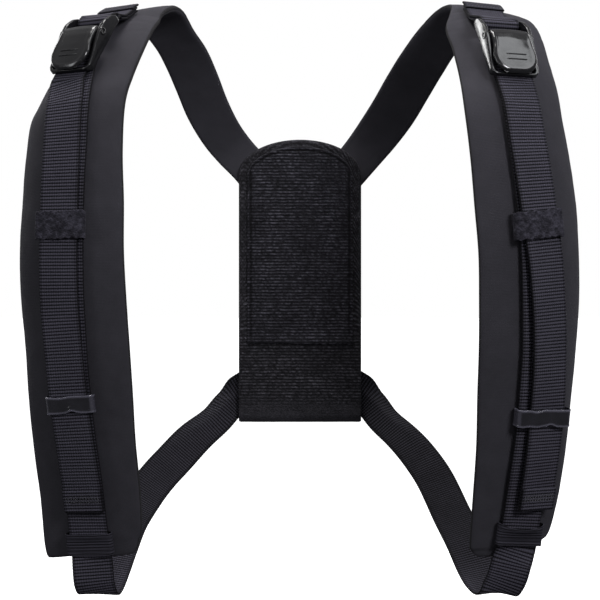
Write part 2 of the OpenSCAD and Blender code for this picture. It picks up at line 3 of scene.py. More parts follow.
import bpy
import bmesh
import numpy as np
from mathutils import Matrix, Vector


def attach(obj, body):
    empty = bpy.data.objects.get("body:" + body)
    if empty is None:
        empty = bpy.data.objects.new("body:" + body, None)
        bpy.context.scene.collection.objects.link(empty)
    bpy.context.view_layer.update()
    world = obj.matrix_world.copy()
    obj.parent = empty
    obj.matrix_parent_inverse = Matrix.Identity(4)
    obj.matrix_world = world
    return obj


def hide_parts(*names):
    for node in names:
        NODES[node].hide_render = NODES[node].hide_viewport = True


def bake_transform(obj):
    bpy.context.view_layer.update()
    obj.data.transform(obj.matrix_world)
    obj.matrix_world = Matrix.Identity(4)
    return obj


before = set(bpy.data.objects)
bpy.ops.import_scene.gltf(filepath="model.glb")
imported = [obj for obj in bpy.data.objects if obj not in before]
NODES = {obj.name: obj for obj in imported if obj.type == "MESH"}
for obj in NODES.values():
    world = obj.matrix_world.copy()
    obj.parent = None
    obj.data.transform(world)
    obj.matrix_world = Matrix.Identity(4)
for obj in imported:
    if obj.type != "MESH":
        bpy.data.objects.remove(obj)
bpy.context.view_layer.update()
scene = bpy.context.scene
rng = np.random.default_rng(11)
MM = 0.001

# ------------------------------------------------------------------ camera, light, floor
cam_data = bpy.data.cameras.new("camera")
cam_data.lens = 125.4
cam_data.sensor_width = 36.0
cam_data.clip_end = 50
cam = bpy.data.objects.new("camera", cam_data)
cam.location = (0.0, -1.400, -0.191)
cam.rotation_euler = (math.radians(90), 0, 0)
scene.collection.objects.link(cam)
scene.camera = cam
scene.view_settings.view_transform = "Standard"
scene.view_settings.look = "None"


def area(name, loc, aim, sx, sy, power, color=(1, 1, 1), spread=180):
    d = bpy.data.lights.new(name, "AREA")
    d.spread = math.radians(spread)
    d.shape = "RECTANGLE"
    d.size, d.size_y, d.energy, d.color = sx, sy, power, color
    o = bpy.data.objects.new(name, d)
    o.location = loc
    o.rotation_mode = "QUATERNION"
    o.rotation_quaternion = (Vector(aim) - Vector(loc)).to_track_quat("-Z", "Y")
    scene.collection.objects.link(o)
    return o


area("top_centre", (-0.11, -0.07, 0.50), (-0.06, -0.03, -0.05), 0.36, 0.22, 3.7, (1.0, 0.985, 0.97))
area("lever_softbox", (0.43, -0.27, 0.44), (0.13, -0.065, -0.02), 0.27, 0.33, 1.15, (0.95, 0.975, 1.0))
area("front_right_key", (1.02, -1.85, 0.70), (0, 0, -0.18), 0.55, 0.55, 31.0, (0.97, 0.97, 1.0))
area("left_soft", (-1.30, -0.70, 0.10), (-0.1, -0.05, -0.15), 0.35, 0.9, 4.4, (0.95, 0.97, 1.0))
area("neck_snoot", (-0.30, -0.95, 0.0), (0.072, 0.03, -0.055), 0.10, 0.10, 0.019, (0.96, 0.97, 1.0), 20)
area("back_left_strip", (-0.95, 1.00, 0.30), (-0.10, 0.0, -0.10), 0.22, 0.9, 4.5, (1, 1, 1))
area("back_right_strip", (0.95, 1.00, 0.30), (0.10, 0.0, -0.10), 0.22, 0.9, 3.0, (1, 1, 1))

# White to the camera; a softer grey surround lights the cloth.
world = bpy.data.worlds.new("studio")
scene.world = world
world.use_nodes = True
wt = world.node_tree
wt.nodes.clear()
w_out = wt.nodes.new("ShaderNodeOutputWorld")
w_bg = wt.nodes.new("ShaderNodeBackground")
w_white = wt.nodes.new("ShaderNodeBackground")
w_mix = wt.nodes.new("ShaderNodeMixShader")
w_path = wt.nodes.new("ShaderNodeLightPath")
w_tc = wt.nodes.new("ShaderNodeTexCoord")
w_sep = wt.nodes.new("ShaderNodeSeparateXYZ")
w_ramp = wt.nodes.new("ShaderNodeValToRGB")
w_map = wt.nodes.new("ShaderNodeMapRange")
w_map.inputs["From Min"].default_value = -1.0
w_map.inputs["From Max"].default_value = 1.0
wt.links.new(w_tc.outputs["Generated"], w_sep.inputs[0])
wt.links.new(w_sep.outputs["Z"], w_map.inputs["Value"])
wt.links.new(w_map.outputs[0], w_ramp.inputs[0])
stops = [(0.0, (0.30, 0.30, 0.32, 1)), (0.48, (0.34, 0.34, 0.36, 1)), (0.70, (0.75, 0.75, 0.78, 1)), (1.0, (1.0, 1.0, 1.0, 1))]
while len(w_ramp.color_ramp.elements) < len(stops):
    w_ramp.color_ramp.elements.new(0.5)
for el, (p, c) in zip(w_ramp.color_ramp.elements, stops):
    el.position, el.color = p, c
wt.links.new(w_ramp.outputs["Color"], w_bg.inputs["Color"])
w_bg.inputs["Strength"].default_value = 0.42
w_white.inputs["Color"].default_value = (1, 1, 1, 1)
w_white.inputs["Strength"].default_value = 1.0
wt.links.new(w_path.outputs["Is Camera Ray"], w_mix.inputs[0])
wt.links.new(w_bg.outputs[0], w_mix.inputs[1])
wt.links.new(w_white.outputs[0], w_mix.inputs[2])
wt.links.new(w_mix.outputs[0], w_out.inputs[0])


# ------------------------------------------------------------------ node helpers
class Mat:
    """A small builder for procedural materials on one Principled shader."""

    def __init__(self, name, color, rough, **sockets):
        self.m = bpy.data.materials.new(name)
        self.m.use_nodes = True
        self.nt = self.m.node_tree
        self.nt.nodes.clear()
        out = self.nt.nodes.new("ShaderNodeOutputMaterial")
        self.b = self.nt.nodes.new("ShaderNodeBsdfPrincipled")
        self.nt.links.new(self.b.outputs[0], out.inputs[0])
        self.b.inputs["Base Color"].default_value = (*color, 1)
        self.b.inputs["Roughness"].default_value = rough
        for k, v in sockets.items():
            self.b.inputs[k.replace("_", " ")].default_value = v
        self.m.diffuse_color = (*color, 1)

    def n(self, kind, **props):
        node = self.nt.nodes.new(kind)
        for k, v in props.items():
            setattr(node, k, v)
        return node

    def link(self, a, b):
        self.nt.links.new(a, b)

    def uv(self, sx=1.0, sy=1.0):
        tc = self.n("ShaderNodeTexCoord")
        mp = self.n("ShaderNodeMapping")
        mp.inputs["Scale"].default_value = (sx, sy, 1)
        self.link(tc.outputs["UV"], mp.inputs["Vector"])
        return mp.outputs["Vector"]

    def obj(self, sx=1.0, sy=None, sz=None):
        tc = self.n("ShaderNodeTexCoord")
        mp = self.n("ShaderNodeMapping")
        mp.inputs["Scale"].default_value = (sx, sx if sy is None else sy, sx if sz is None else sz)
        self.link(tc.outputs["Object"], mp.inputs["Vector"])
        return mp.outputs["Vector"]

    def noise(self, vec, scale, detail=3.0, rough=0.55):
        t = self.n("ShaderNodeTexNoise")
        t.inputs["Scale"].default_value = scale
        t.inputs["Detail"].default_value = detail
        t.inputs["Roughness"].default_value = rough
        self.link(vec, t.inputs["Vector"])
        return t.outputs["Fac"]

    def wave(self, vec, scale, direction="X", distortion=0.0, dscale=1.0, detail=1.0):
        t = self.n("ShaderNodeTexWave", wave_type="BANDS", bands_direction=direction, wave_profile="SIN")
        t.inputs["Scale"].default_value = scale
        t.inputs["Distortion"].default_value = distortion
        t.inputs["Detail"].default_value = detail
        t.inputs["Detail Scale"].default_value = dscale
        self.link(vec, t.inputs["Vector"])
        return t.outputs["Fac"]

    def voronoi(self, vec, scale, feature="F1"):
        t = self.n("ShaderNodeTexVoronoi", feature=feature)
        t.inputs["Scale"].default_value = scale
        self.link(vec, t.inputs["Vector"])
        return t.outputs["Distance"]

    def math(self, op, a, b=None, clamp=False):
        t = self.n("ShaderNodeMath", operation=op, use_clamp=clamp)
        for i, v in enumerate((a, b)):
            if v is None:
                continue
            if isinstance(v, (int, float)):
                t.inputs[i].default_value = v
            else:
                self.link(v, t.inputs[i])
        return t.outputs[0]

    def ramp(self, fac, stops):
        t = self.n("ShaderNodeValToRGB")
        e = t.color_ramp.elements
        while len(e) < len(stops):
            e.new(0.5)
        for el, (p, c) in zip(e, stops):
            el.position = p
            el.color = (*c, 1)
        self.link(fac, t.inputs[0])
        return t.outputs["Color"]

    def rng(self, fac, lo, hi, a=0.0, b=1.0):
        t = self.n("ShaderNodeMapRange")
        t.inputs["From Min"].default_value = a
        t.inputs["From Max"].default_value = b
        t.inputs["To Min"].default_value = lo
        t.inputs["To Max"].default_value = hi
        self.link(fac, t.inputs["Value"])
        return t.outputs[0]

    def depth(self):
        """How proud of the cloth's valleys this point is, 0 to 1, stored on the mesh; the colours turn it into painted
        shade where it is low and painted highlight where it is high.
        """
        t = self.n("ShaderNodeAttribute", attribute_name="relief")
        return t.outputs["Fac"]

    def color(self, out):
        self.link(out, self.b.inputs["Base Color"])

    def rough(self, out):
        self.link(out, self.b.inputs["Roughness"])

    def bumps(self, layers):
        """layers: (height output, strength, distance in metres), coarsest last."""
        prev = None
        for h, strength, dist in layers:
            b = self.n("ShaderNodeBump")
            b.inputs["Strength"].default_value = strength
            b.inputs["Distance"].default_value = dist
            self.link(h, b.inputs["Height"])
            if prev is not None:
                self.link(prev, b.inputs["Normal"])
            prev = b.outputs["Normal"]
        self.link(prev, self.b.inputs["Normal"])


def shade(c, k):
    return tuple(min(1.0, x * k) for x in c)


# UV maps are in centimetres: x across the piece, y along it.
def make_jersey():
    c = (0.0285, 0.0274, 0.0330)
    m = Mat("knit_jersey", c, 0.86, Sheen_Weight=0.045, Sheen_Roughness=0.45, Specular_IOR_Level=0.14)
    m.b.inputs["Sheen Tint"].default_value = (0.80, 0.78, 0.9, 1)
    uv = m.uv()
    big = m.noise(m.obj(), 16.0, 4.0, 0.6)
    mid = m.noise(m.obj(), 90.0, 3.0, 0.6)
    fine = m.noise(uv, 26.0, 2.0, 0.7)
    f = m.math("ADD", m.math("MULTIPLY", big, 0.45), m.math("ADD", m.math("MULTIPLY", mid, 0.30), m.math("MULTIPLY", fine, 0.25)))
    m.color(m.ramp(f, [(0.30, shade(c, 0.72)), (0.52, c), (0.72, shade(c, 1.30))]))
    wales = m.wave(m.uv(1, 1), 4.1, "X", 0.6, 2.0)
    courses = m.wave(m.uv(1, 1), 3.2, "Y", 0.9, 2.0)
    knit = m.math("MULTIPLY", wales, courses)
    m.rough(m.rng(mid, 0.80, 0.92))
    m.bumps([(knit, 0.35, 0.00022), (fine, 0.30, 0.0003), (mid, 0.25, 0.0009)])
    return m.m


def make_foam_edge():
    c = (0.014, 0.0135, 0.015)
    m = Mat("foam_edge", c, 0.93, Specular_IOR_Level=0.18)
    cells = m.voronoi(m.obj(), 900.0)
    big = m.noise(m.obj(), 30.0, 3.0)
    m.color(m.ramp(m.math("ADD", m.math("MULTIPLY", cells, 0.8), m.math("MULTIPLY", big, 0.4)), [(0.2, shade(c, 0.6)), (0.6, c), (0.9, shade(c, 1.3))]))
    m.bumps([(cells, 0.4, 0.0003)])
    return m.m


def make_webbing(name="webbing_ribbed", c=(0.0275, 0.0262, 0.0345), k=1.0, rear_run_shade=False):
    c = shade(c, k)
    m = Mat(name, c, 0.70, Sheen_Weight=0.015, Sheen_Roughness=0.35, Specular_IOR_Level=0.10)
    m.b.inputs["Sheen Tint"].default_value = (0.74, 0.72, 0.95, 1)
    uv = m.uv()
    warp = m.wave(uv, 1.95, "X", 0.25, 3.0)
    yarn = m.wave(m.uv(), 9.2, "X", 0.7, 5.0)
    wear = m.noise(m.obj(), 40.0, 4.0, 0.6)
    speck = m.noise(uv, 34.0, 2.0, 0.6)
    f = m.math("ADD", m.math("MULTIPLY", warp, 0.10), m.math("ADD", m.math("MULTIPLY", wear, 0.16), m.math("MULTIPLY", speck, 0.16)))
    # painted shade and highlight: the relief darkens the valleys between the ribs and towards the edges, and lightens
    # the rib crests
    f = m.math("ADD", f, m.math("MULTIPLY", m.depth(), 0.62))
    if rear_run_shade:
        # painted shade: the rear run, from the back pad round under the arm, is darkened to about three quarters
        sep = m.n("ShaderNodeSeparateXYZ")
        m.link(uv, sep.inputs[0])
        f = m.math("MULTIPLY", f, m.rng(sep.outputs["Y"], 0.76, 1.0, 18.5, 23.5))
    m.color(m.ramp(f, [(0.34, shade(c, 0.10)), (0.50, shade(c, 0.40)), (0.70, shade(c, 1.45)), (0.92, shade(c, 2.6))]))
    m.rough(m.rng(speck, 0.62, 0.80))
    m.bumps([(yarn, 0.35, 0.00012), (speck, 0.30, 0.00015), (warp, 0.60, 0.00030)])
    return m.m


def make_pile(name, c, k=1.0):
    c = shade(c, k)
    m = Mat(name, c, 0.92, Sheen_Weight=0.03, Sheen_Roughness=0.55, Specular_IOR_Level=0.10)
    m.b.inputs["Sheen Tint"].default_value = (0.82, 0.80, 0.92, 1)
    o = m.obj()
    tuft = m.noise(m.obj(1.0, 1.0, 2.1), 620.0, 3.0, 0.7)
    loops = m.voronoi(m.obj(1.0, 1.0, 1.7), 820.0)
    patch = m.noise(o, 70.0, 4.0, 0.65)
    f = m.math("ADD", m.math("MULTIPLY", tuft, 0.30), m.math("ADD", m.math("MULTIPLY", loops, 0.18), m.math("MULTIPLY", patch, 0.22)))
    # painted shade in the valleys between the pile's rows and painted highlight on their crests, from the relief
    f = m.math("ADD", f, m.math("MULTIPLY", m.depth(), 0.50))
    m.color(m.ramp(f, [(0.28, shade(c, 0.12)), (0.46, shade(c, 0.50)), (0.62, shade(c, 1.35)), (0.82, shade(c, 3.6))]))
    m.bumps([(tuft, 0.55, 0.0004), (loops, 0.5, 0.00035)])
    return m.m


def make_buckle():
    c = (0.0040, 0.0040, 0.0048)
    m = Mat("moulded_gloss_black", c, 0.15, IOR=1.46, Coat_Weight=0.22, Coat_Roughness=0.06)
    scuff = m.noise(m.obj(), 260.0, 5.0, 0.7)
    flow = m.noise(m.obj(1, 3, 1), 45.0, 2.0)
    m.color(m.ramp(flow, [(0.3, shade(c, 0.85)), (0.7, shade(c, 1.3))]))
    m.rough(m.rng(scuff, 0.12, 0.30, 0.35, 0.75))
    m.bumps([(scuff, 0.05, 0.0001), (flow, 0.05, 0.0010)])
    return m.m


def make_tpu():
    c = (0.060, 0.058, 0.075)
    m = Mat("translucent_keeper", c, 0.20, IOR=1.45, Transmission_Weight=0.66, Coat_Weight=0.30, Coat_Roughness=0.12)
    w = m.noise(m.obj(), 240.0, 2.0)
    haze = m.noise(m.obj(), 120.0, 3.0)
    # painted highlight: the relief brightens the ring along its rims
    f = m.math("ADD", m.math("MULTIPLY", haze, 0.35), m.math("MULTIPLY", m.depth(), 0.75))
    m.color(m.ramp(f, [(0.10, shade(c, 0.40)), (0.30, shade(c, 0.75)), (0.62, shade(c, 2.0)), (0.95, shade(c, 3.6))]))
    m.rough(m.rng(haze, 0.07, 0.20))
    m.bumps([(w, 0.25, 0.0005)])
    return m.m


def make_thread(c=(0.040, 0.039, 0.047)):
    m = Mat("bonded_thread", c, 0.55, Sheen_Weight=0.15, Specular_IOR_Level=0.35)
    ply = m.wave(m.uv(1, 1), 8.0, "DIAGONAL", 0.2)
    m.color(m.ramp(ply, [(0.2, shade(c, 0.5)), (0.8, shade(c, 1.25))]))
    m.bumps([(ply, 0.5, 0.0002)])
    return m.m


def make_steel():
    c = (0.45, 0.45, 0.46)
    m = Mat("drawn_steel", c, 0.32, Metallic=1.0)
    s = m.noise(m.obj(60, 900, 900), 3.0, 3.0)
    m.rough(m.rng(s, 0.24, 0.42))
    m.color(m.ramp(s, [(0.3, shade(c, 0.85)), (0.7, shade(c, 1.1))]))
    return m.m


def make_hook():
    c = (0.016, 0.016, 0.018)
    m = Mat("hook_tape", c, 0.55, Specular_IOR_Level=0.4)
    s = m.noise(m.obj(), 700.0, 2.0)
    m.color(m.ramp(s, [(0.3, shade(c, 0.6)), (0.7, shade(c, 1.5))]))
    m.bumps([(s, 0.4, 0.0002)])
    return m.m


JERSEY = make_jersey()
FOAM_EDGE = make_foam_edge()
WEBBING = make_webbing()
# the main adjuster webbing, with painted shade on its rear run
WEBBING_RUN = make_webbing("webbing_run", rear_run_shade=True)
WEBBING_DARK = make_webbing("webbing_keeper", k=0.75)
PILE = make_pile("ribbed_pile", (0.0205, 0.0198, 0.0245))
PILE_KEEPER = make_pile("brushed_pile", (0.0125, 0.0119, 0.0158))
WRAP = make_pile("wrap_pile", (0.0225, 0.0217, 0.0255))
BUCKLE = make_buckle()
TPU = make_tpu()
THREAD = make_thread()
STEEL = make_steel()
HOOK = make_hook()

floor_mat = Mat("pale_floor", (0.93, 0.93, 0.93), 0.9, Emission_Strength=0.95)
floor_mat.b.inputs["Emission Color"].default_value = (1, 1, 1, 1)
fn = floor_mat.noise(floor_mat.obj(), 3.0)
floor_mat.color(floor_mat.ramp(fn, [(0.3, (0.93, 0.93, 0.93)), (0.7, (0.95, 0.95, 0.95))]))
fm = bpy.data.meshes.new("floor")
fm.from_pydata([(-30, -30, -0.46), (30, -30, -0.46), (30, 30, -0.46), (-30, 30, -0.46)], [], [(0, 1, 2, 3)])
floor = bpy.data.objects.new("floor", fm)
fm.materials.append(floor_mat.m)
scene.collection.objects.link(floor)
floor.visible_diffuse = floor.visible_glossy = floor.visible_transmission = False


# ------------------------------------------------------------------ numeric helpers
LATTICE = rng.random((256, 256))


def vnoise(x, y):
    """Smooth value noise from -1 to 1."""
    x, y = np.broadcast_arrays(np.asarray(x, float), np.asarray(y, float))
    xi, yi = np.floor(x).astype(int), np.floor(y).astype(int)
    fx, fy = x - xi, y - yi
    fx, fy = fx * fx * (3 - 2 * fx), fy * fy * (3 - 2 * fy)
    g = lambda i, j: LATTICE[(xi + i) % 256, (yi + j) % 256]
    v = (g(0, 0) * (1 - fx) + g(1, 0) * fx) * (1 - fy) + (g(0, 1) * (1 - fx) + g(1, 1) * fx) * fy
    return v * 2 - 1


def fbm(x, y, octaves=3):
    v, a, f = 0.0, 1.0, 1.0
    for _ in range(octaves):
        v = v + a * vnoise(np.asarray(x) * f + 17.3 * f, np.asarray(y) * f + 5.1 * f)
        a, f = a * 0.5, f * 2.03
    return v / 1.75


def unit(v):
    return v / np.maximum(np.linalg.norm(v, axis=-1, keepdims=True), 1e-12)


def smooth(x, a, b):
    t = np.clip((np.asarray(x, float) - a) / (b - a), 0, 1)
    return t * t * (3 - 2 * t)


def row_at(tab, v):
    v = np.atleast_1d(np.asarray(v, float))
    u = np.clip(v, 0, len(tab) - 1)
    i = np.minimum(np.floor(u).astype(int), len(tab) - 2)
    a, b = tab[np.maximum(i - 1, 0)], tab[i]
    c, d = tab[i + 1], tab[np.minimum(i + 2, len(tab) - 1)]
    t = (u - i)[:, None]
    return 0.5 * (2 * b + (c - a) * t + (2 * a - 5 * b + 4 * c - d) * t * t + (3 * b - a - 3 * c + d) * t**3)


def station(tab, side, u, h=0.3):
    u = np.atleast_1d(np.asarray(u, float))
    s = row_at(tab, u)
    t = unit(row_at(tab, u + h)[:, :3] - row_at(tab, u - h)[:, :3])
    a, e = np.radians(s[:, 3]), np.radians(s[:, 4])
    n0 = np.stack([side * np.sin(a), -np.cos(a) * np.cos(e), np.cos(a) * np.sin(e)], -1)
    n = unit(n0 - (n0 * t).sum(-1, keepdims=True) * t)
    return s[:, :3], n, side * np.cross(t, n), t, s


def smooth_rows(a, sigma):
    """Gaussian smoothing along axis 0, in samples, ends held."""
    r = int(math.ceil(3 * sigma))
    k = np.exp(-0.5 * (np.arange(-r, r + 1) / sigma) ** 2)
    k /= k.sum()
    pad = np.concatenate([2 * a[:1] - a[r:0:-1], a, 2 * a[-1:] - a[-2 : -r - 2 : -1]])
    return np.stack([np.convolve(pad[:, j], k, "valid") for j in range(a.shape[1])], -1)


def resample(P, W, step, sigma):
    """Points and width directions at an even spacing, kinks smoothed."""
    def walk(P, W, n=None, st=None):
        d = np.r_[0, np.cumsum(np.linalg.norm(np.diff(P, axis=0), axis=1))]
        s = np.linspace(0, d[-1], n or int(round(d[-1] / st)) + 1)
        return (
            np.stack([np.interp(s, d, P[:, j]) for j in range(3)], -1),
            unit(np.stack([np.interp(s, d, W[:, j]) for j in range(3)], -1)),
            s,
        )
    P, W, s = walk(P, W, st=0.4)
    P = smooth_rows(P, sigma / 0.4)
    W = unit(smooth_rows(W, 2.2 * sigma / 0.4))
    return walk(P, W, st=step)


# ------------------------------------------------------------------ mesh helpers
def finish_mesh(name, verts, faces, uvs, mat, body, nodes=(), mats=None, face_mat=None, flat=False, relief=None):
    """verts in mm. uvs: one per face corner, or None. Normals are made to point outward."""
    me = bpy.data.meshes.new(name)
    me.from_pydata((np.asarray(verts) * MM).tolist(), [], faces)
    if uvs is not None:
        layer = me.uv_layers.new(name="UVMap")
        layer.data.foreach_set("uv", np.asarray(uvs, np.float32).ravel())
    for m in mats or [mat]:
        me.materials.append(m)
    if face_mat is not None:
        me.polygons.foreach_set("material_index", np.asarray(face_mat, np.int32))
    layer = me.attributes.new("relief", "FLOAT", "POINT")
    layer.data.foreach_set("value", np.full(len(verts), 0.6, np.float32) if relief is None else np.asarray(relief, np.float32).ravel())
    me.validate(verbose=False)
    bm = bmesh.new()
    bm.from_mesh(me)
    bmesh.ops.recalc_face_normals(bm, faces=bm.faces)
    bm.to_mesh(me)
    bm.free()
    me.polygons.foreach_set("use_smooth", [not flat] * len(me.polygons))
    me.update()
    o = bpy.data.objects.new(name, me)
    scene.collection.objects.link(o)
    if nodes:
        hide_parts(*nodes)
    if body:
        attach(o, body)
    return o


def sweep(rings, us, vs, caps=True, closed=False, base=0):
    """rings (m, n, 3); a closed loop per ring. Returns verts, faces, uv per corner. us (m, n+1), vs (m, n+1)."""
    m, n = rings.shape[:2]
    faces, uv = [], []
    last = m if closed else m - 1
    for i in range(last):
        i2 = (i + 1) % m
        for j in range(n):
            j2 = (j + 1) % n
            faces.append((base + i * n + j, base + i2 * n + j, base + i2 * n + j2, base + i * n + j2))
            uv += [(us[i][j], vs[i][j]), (us[i2][j], vs[i2][j]), (us[i2][j + 1], vs[i2][j + 1]), (us[i][j + 1], vs[i][j + 1])]
    if caps and not closed:
        for i in (0, m - 1):
            for j in range(n // 2 - 1):
                a, b, c, d = j, j + 1, n - 2 - j, n - 1 - j
                q = [a, b, c, d] if b != c else [a, b, d]
                faces.append(tuple(base + i * n + k for k in q))
                uv += [(us[i][k], vs[i][k]) for k in q]
    return rings.reshape(-1, 3), faces, uv


def merge(parts):
    """Joins (verts, faces, uv) lists into one, renumbering."""
    V, F, U, off = [], [], [], 0
    for v, f, u in parts:
        V.append(np.asarray(v))
        F += [tuple(i + off for i in q) for q in f]
        U += list(u)
        off += len(v)
    return np.concatenate(V), F, U


def tube(pts, r, sides=8, closed=False, round_ends=True):
    """A round thread along points (mm)."""
    P = np.asarray(pts, float)
    if round_ends and not closed:
        t0, t1 = unit(P[0] - P[1]), unit(P[-1] - P[-2])
        P = np.concatenate([[P[0] + t0 * r * 0.9], [P[0] + t0 * r * 0.6], P, [P[-1] + t1 * r * 0.6], [P[-1] + t1 * r * 0.9]])
        R = np.r_[0.35, 0.8, np.ones(len(P) - 4), 0.8, 0.35] * r
    else:
        R = np.full(len(P), r)
    if closed:
        T = unit(np.roll(P, -1, 0) - np.roll(P, 1, 0))
    else:
        T = unit(np.gradient(P, axis=0))
    ref = np.array([0.13, 0.31, 0.94])
    A = np.cross(T, ref)
    bad = np.linalg.norm(A, axis=1) < 0.2
    A[bad] = np.cross(T[bad], [1.0, 0, 0])
    A = unit(A)
    for i in range(1, len(P)):
        a = A[i - 1] - (A[i - 1] @ T[i]) * T[i]
        A[i] = a / max(np.linalg.norm(a), 1e-9)
    B = np.cross(T, A)
    th = np.arange(sides) * 2 * math.pi / sides
    rings = P[:, None] + R[:, None, None] * (A[:, None] * np.cos(th)[None, :, None] + B[:, None] * np.sin(th)[None, :, None])
    s = np.r_[0, np.cumsum(np.linalg.norm(np.diff(P, axis=0), axis=1))] * 0.1
    us = np.repeat((np.arange(sides + 1) / sides * 2 * math.pi * r * 0.1)[None], len(P), 0)
    vs = np.repeat(s[:, None], sides + 1, 1)
    return sweep(rings, us, vs, caps=not closed, closed=closed)


def strip_section(w, n_top, n_edge, e):
    """Closed section of a flat strip: (v across, side +1..-1) pairs, round edges of radius e."""
    v, h = [], []
    for x in np.linspace(-(w / 2 - e), w / 2 - e, n_top):
        v.append(x), h.append(1.0)
    for a in np.linspace(90, -90, n_edge + 2)[1:-1]:
        v.append(w / 2 - e + e * math.cos(math.radians(a))), h.append(math.sin(math.radians(a)))
    for x in np.linspace(w / 2 - e, -(w / 2 - e), n_top):
        v.append(x), h.append(-1.0)
    for a in np.linspace(-90, -270, n_edge + 2)[1:-1]:
        v.append(-(w / 2 - e) + e * math.cos(math.radians(a))), h.append(math.sin(math.radians(a)))
    return np.array(v), np.array(h)


PITCH = 2.05


class Ribbon:
    """Woven webbing with a real rib across it at every pick."""

    def __init__(self, P, W, width=26.0, t=1.5, amp=0.34, step=PITCH / 6, sigma=0.9, n_top=14, crease=None, phase=0.0, wander=0.0):
        self.P, self.W, self.s = resample(np.asarray(P, float), np.asarray(W, float), step, sigma)
        self.T = unit(np.gradient(self.P, axis=0))
        self.B = unit(np.cross(self.T, self.W))
        self.U = np.cross(self.B, self.T)
        self.width, self.t = width, t
        v, h = strip_section(width, n_top, 3, 0.7)
        s = self.s[:, None]
        rib = np.abs(np.sin(math.pi * (s / PITCH + phase))) ** 0.75
        edge = 1 - smooth(np.abs(v)[None], width / 2 - 1.4, width / 2)
        half = t / 2 - 0.10 + amp * rib * (0.35 + 0.65 * edge) + 0.035 * vnoise(s / 3.1, v[None] / 1.6)
        vv = v[None] + np.sign(v)[None] * 0.16 * rib * (1 - edge) + wander * vnoise(s / 26.0, 3.7 + 0 * v[None])
        hh = h[None] * half
        lat, out = vv.copy(), hh
        if crease is not None:
            ang, v0 = crease(self.s)  # radians per station, crease line across
            d = np.maximum(vv - v0[:, None], 0) if True else 0
            lat = np.where(d > 0, v0[:, None] + d * np.cos(ang)[:, None], vv)
            out = hh + d * np.sin(ang)[:, None]
        self.rings = self.P[:, None] + self.U[:, None] * lat[..., None] + self.B[:, None] * out[..., None]
        n = len(v)
        us = np.repeat((np.r_[v, v[0]] * 0.1)[None], len(self.s), 0)
        vs = np.repeat((self.s * 0.1)[:, None], n + 1, 1)
        self.mesh = sweep(self.rings, us, vs)
        # relief for the colour: painted shade in the rib valleys and towards the edges, painted highlight on the rib
        # crests
        self.relief = (rib * (0.35 + 0.65 * edge) + 0.0 * v[None]).ravel()

    def at(self, s, v, h):
        """World point at arc length s, v across, h above the middle of the cloth."""
        i = np.clip(np.interp(s, self.s, np.arange(len(self.s))), 0, len(self.s) - 1)
        k = np.round(i).astype(int)
        return self.P[k] + self.U[k] * np.asarray(v)[..., None] + self.B[k] * np.asarray(h)[..., None]


# ------------------------------------------------------------------ route tables (mm)
GUIDE_L = np.array([
    [-132, -65, -356, 12, 0, 24, 26.5, 3, 6, 2.6, 5],
    [-132, -66, -353, 12, 0, 30, 33.5, 3, 8, 3.6, 5],
    [-133, -68, -346, 12, 0, 33, 36, 4, 9, 4, 5],
    [-135.5, -75, -318, 14, 0, 35, 37, 5, 12, 4, 3],
    [-139, -84, -285, 16, 0, 36, 39, 6, 15, 4, 1],
    [-142.5, -90, -254, 17, 0, 38, 39.5, 7, 18, 4, 0],
    [-145, -94, -222, 18, 0, 38.5, 40, 8, 20, 4, 0],
    [-147, -96, -191, 18, 0, 38.5, 40.5, 8, 20, 4, 0],
    [-147.5, -97, -160, 18, 0, 37.5, 41, 8, 20, 4, 0],
    [-147, -96, -129, 19, 3, 37, 40.5, 8, 20, 4, 0],
    [-146, -92, -97, 21, 9, 35, 40, 8, 18, 4, 0],
    [-145, -84, -67, 24, 20, 35, 38, 9, 15, 4, 0],
    [-142, -70, -47, 26, 34, 37, 31, 9, 11, 4, 0],
    [-134.5, -52, -28, 25, 48, 36, 23, 8, 7, 4, 0],
    [-127.5, -33, -13, 19, 61, 34, 18, 6, 5, 3.6, 0],
    [-121, -14, -2, 11, 75, 32, 17, 5, 4, 3.4, 0],
    [-109, 5, 3.5, 10, 91, 27, 16.5, 3, 2, 3.2, 0],
    [-99, 22, 1, 8, 108, 22.5, 14, 1, 1, 3, 0],
    [-89, 39, -10, 7, 128, 18, 13, 1, 1, 2.8, 0],
    [-80, 54, -23, 5, 144, 17, 14.5, 0, 0, 2.6, 0],
    [-72, 66, -38, 4, 155, 15.5, 16, 0, 0, 2.4, 0],
    [-64, 77, -55, 3, 163, 14, 17, 0, 0, 2.2, 0],
    [-55, 86, -71, 1, 171, 13, 16.5, 0, 0, 2, 0],
    [-46, 91.4, -84, 0, 178, 13, 15, 0, 0, 1.8, 0],
    [-36, 92.4, -97, 0, 180, 14, 13, 0, 0, 1.8, 0],
    [-26, 92.4, -110, 0, 180, 14, 13, 0, 0, 1.8, 0],
    [-17, 92.4, -122, 0, 180, 13, 13, 0, 0, 1.8, 0],
], float)
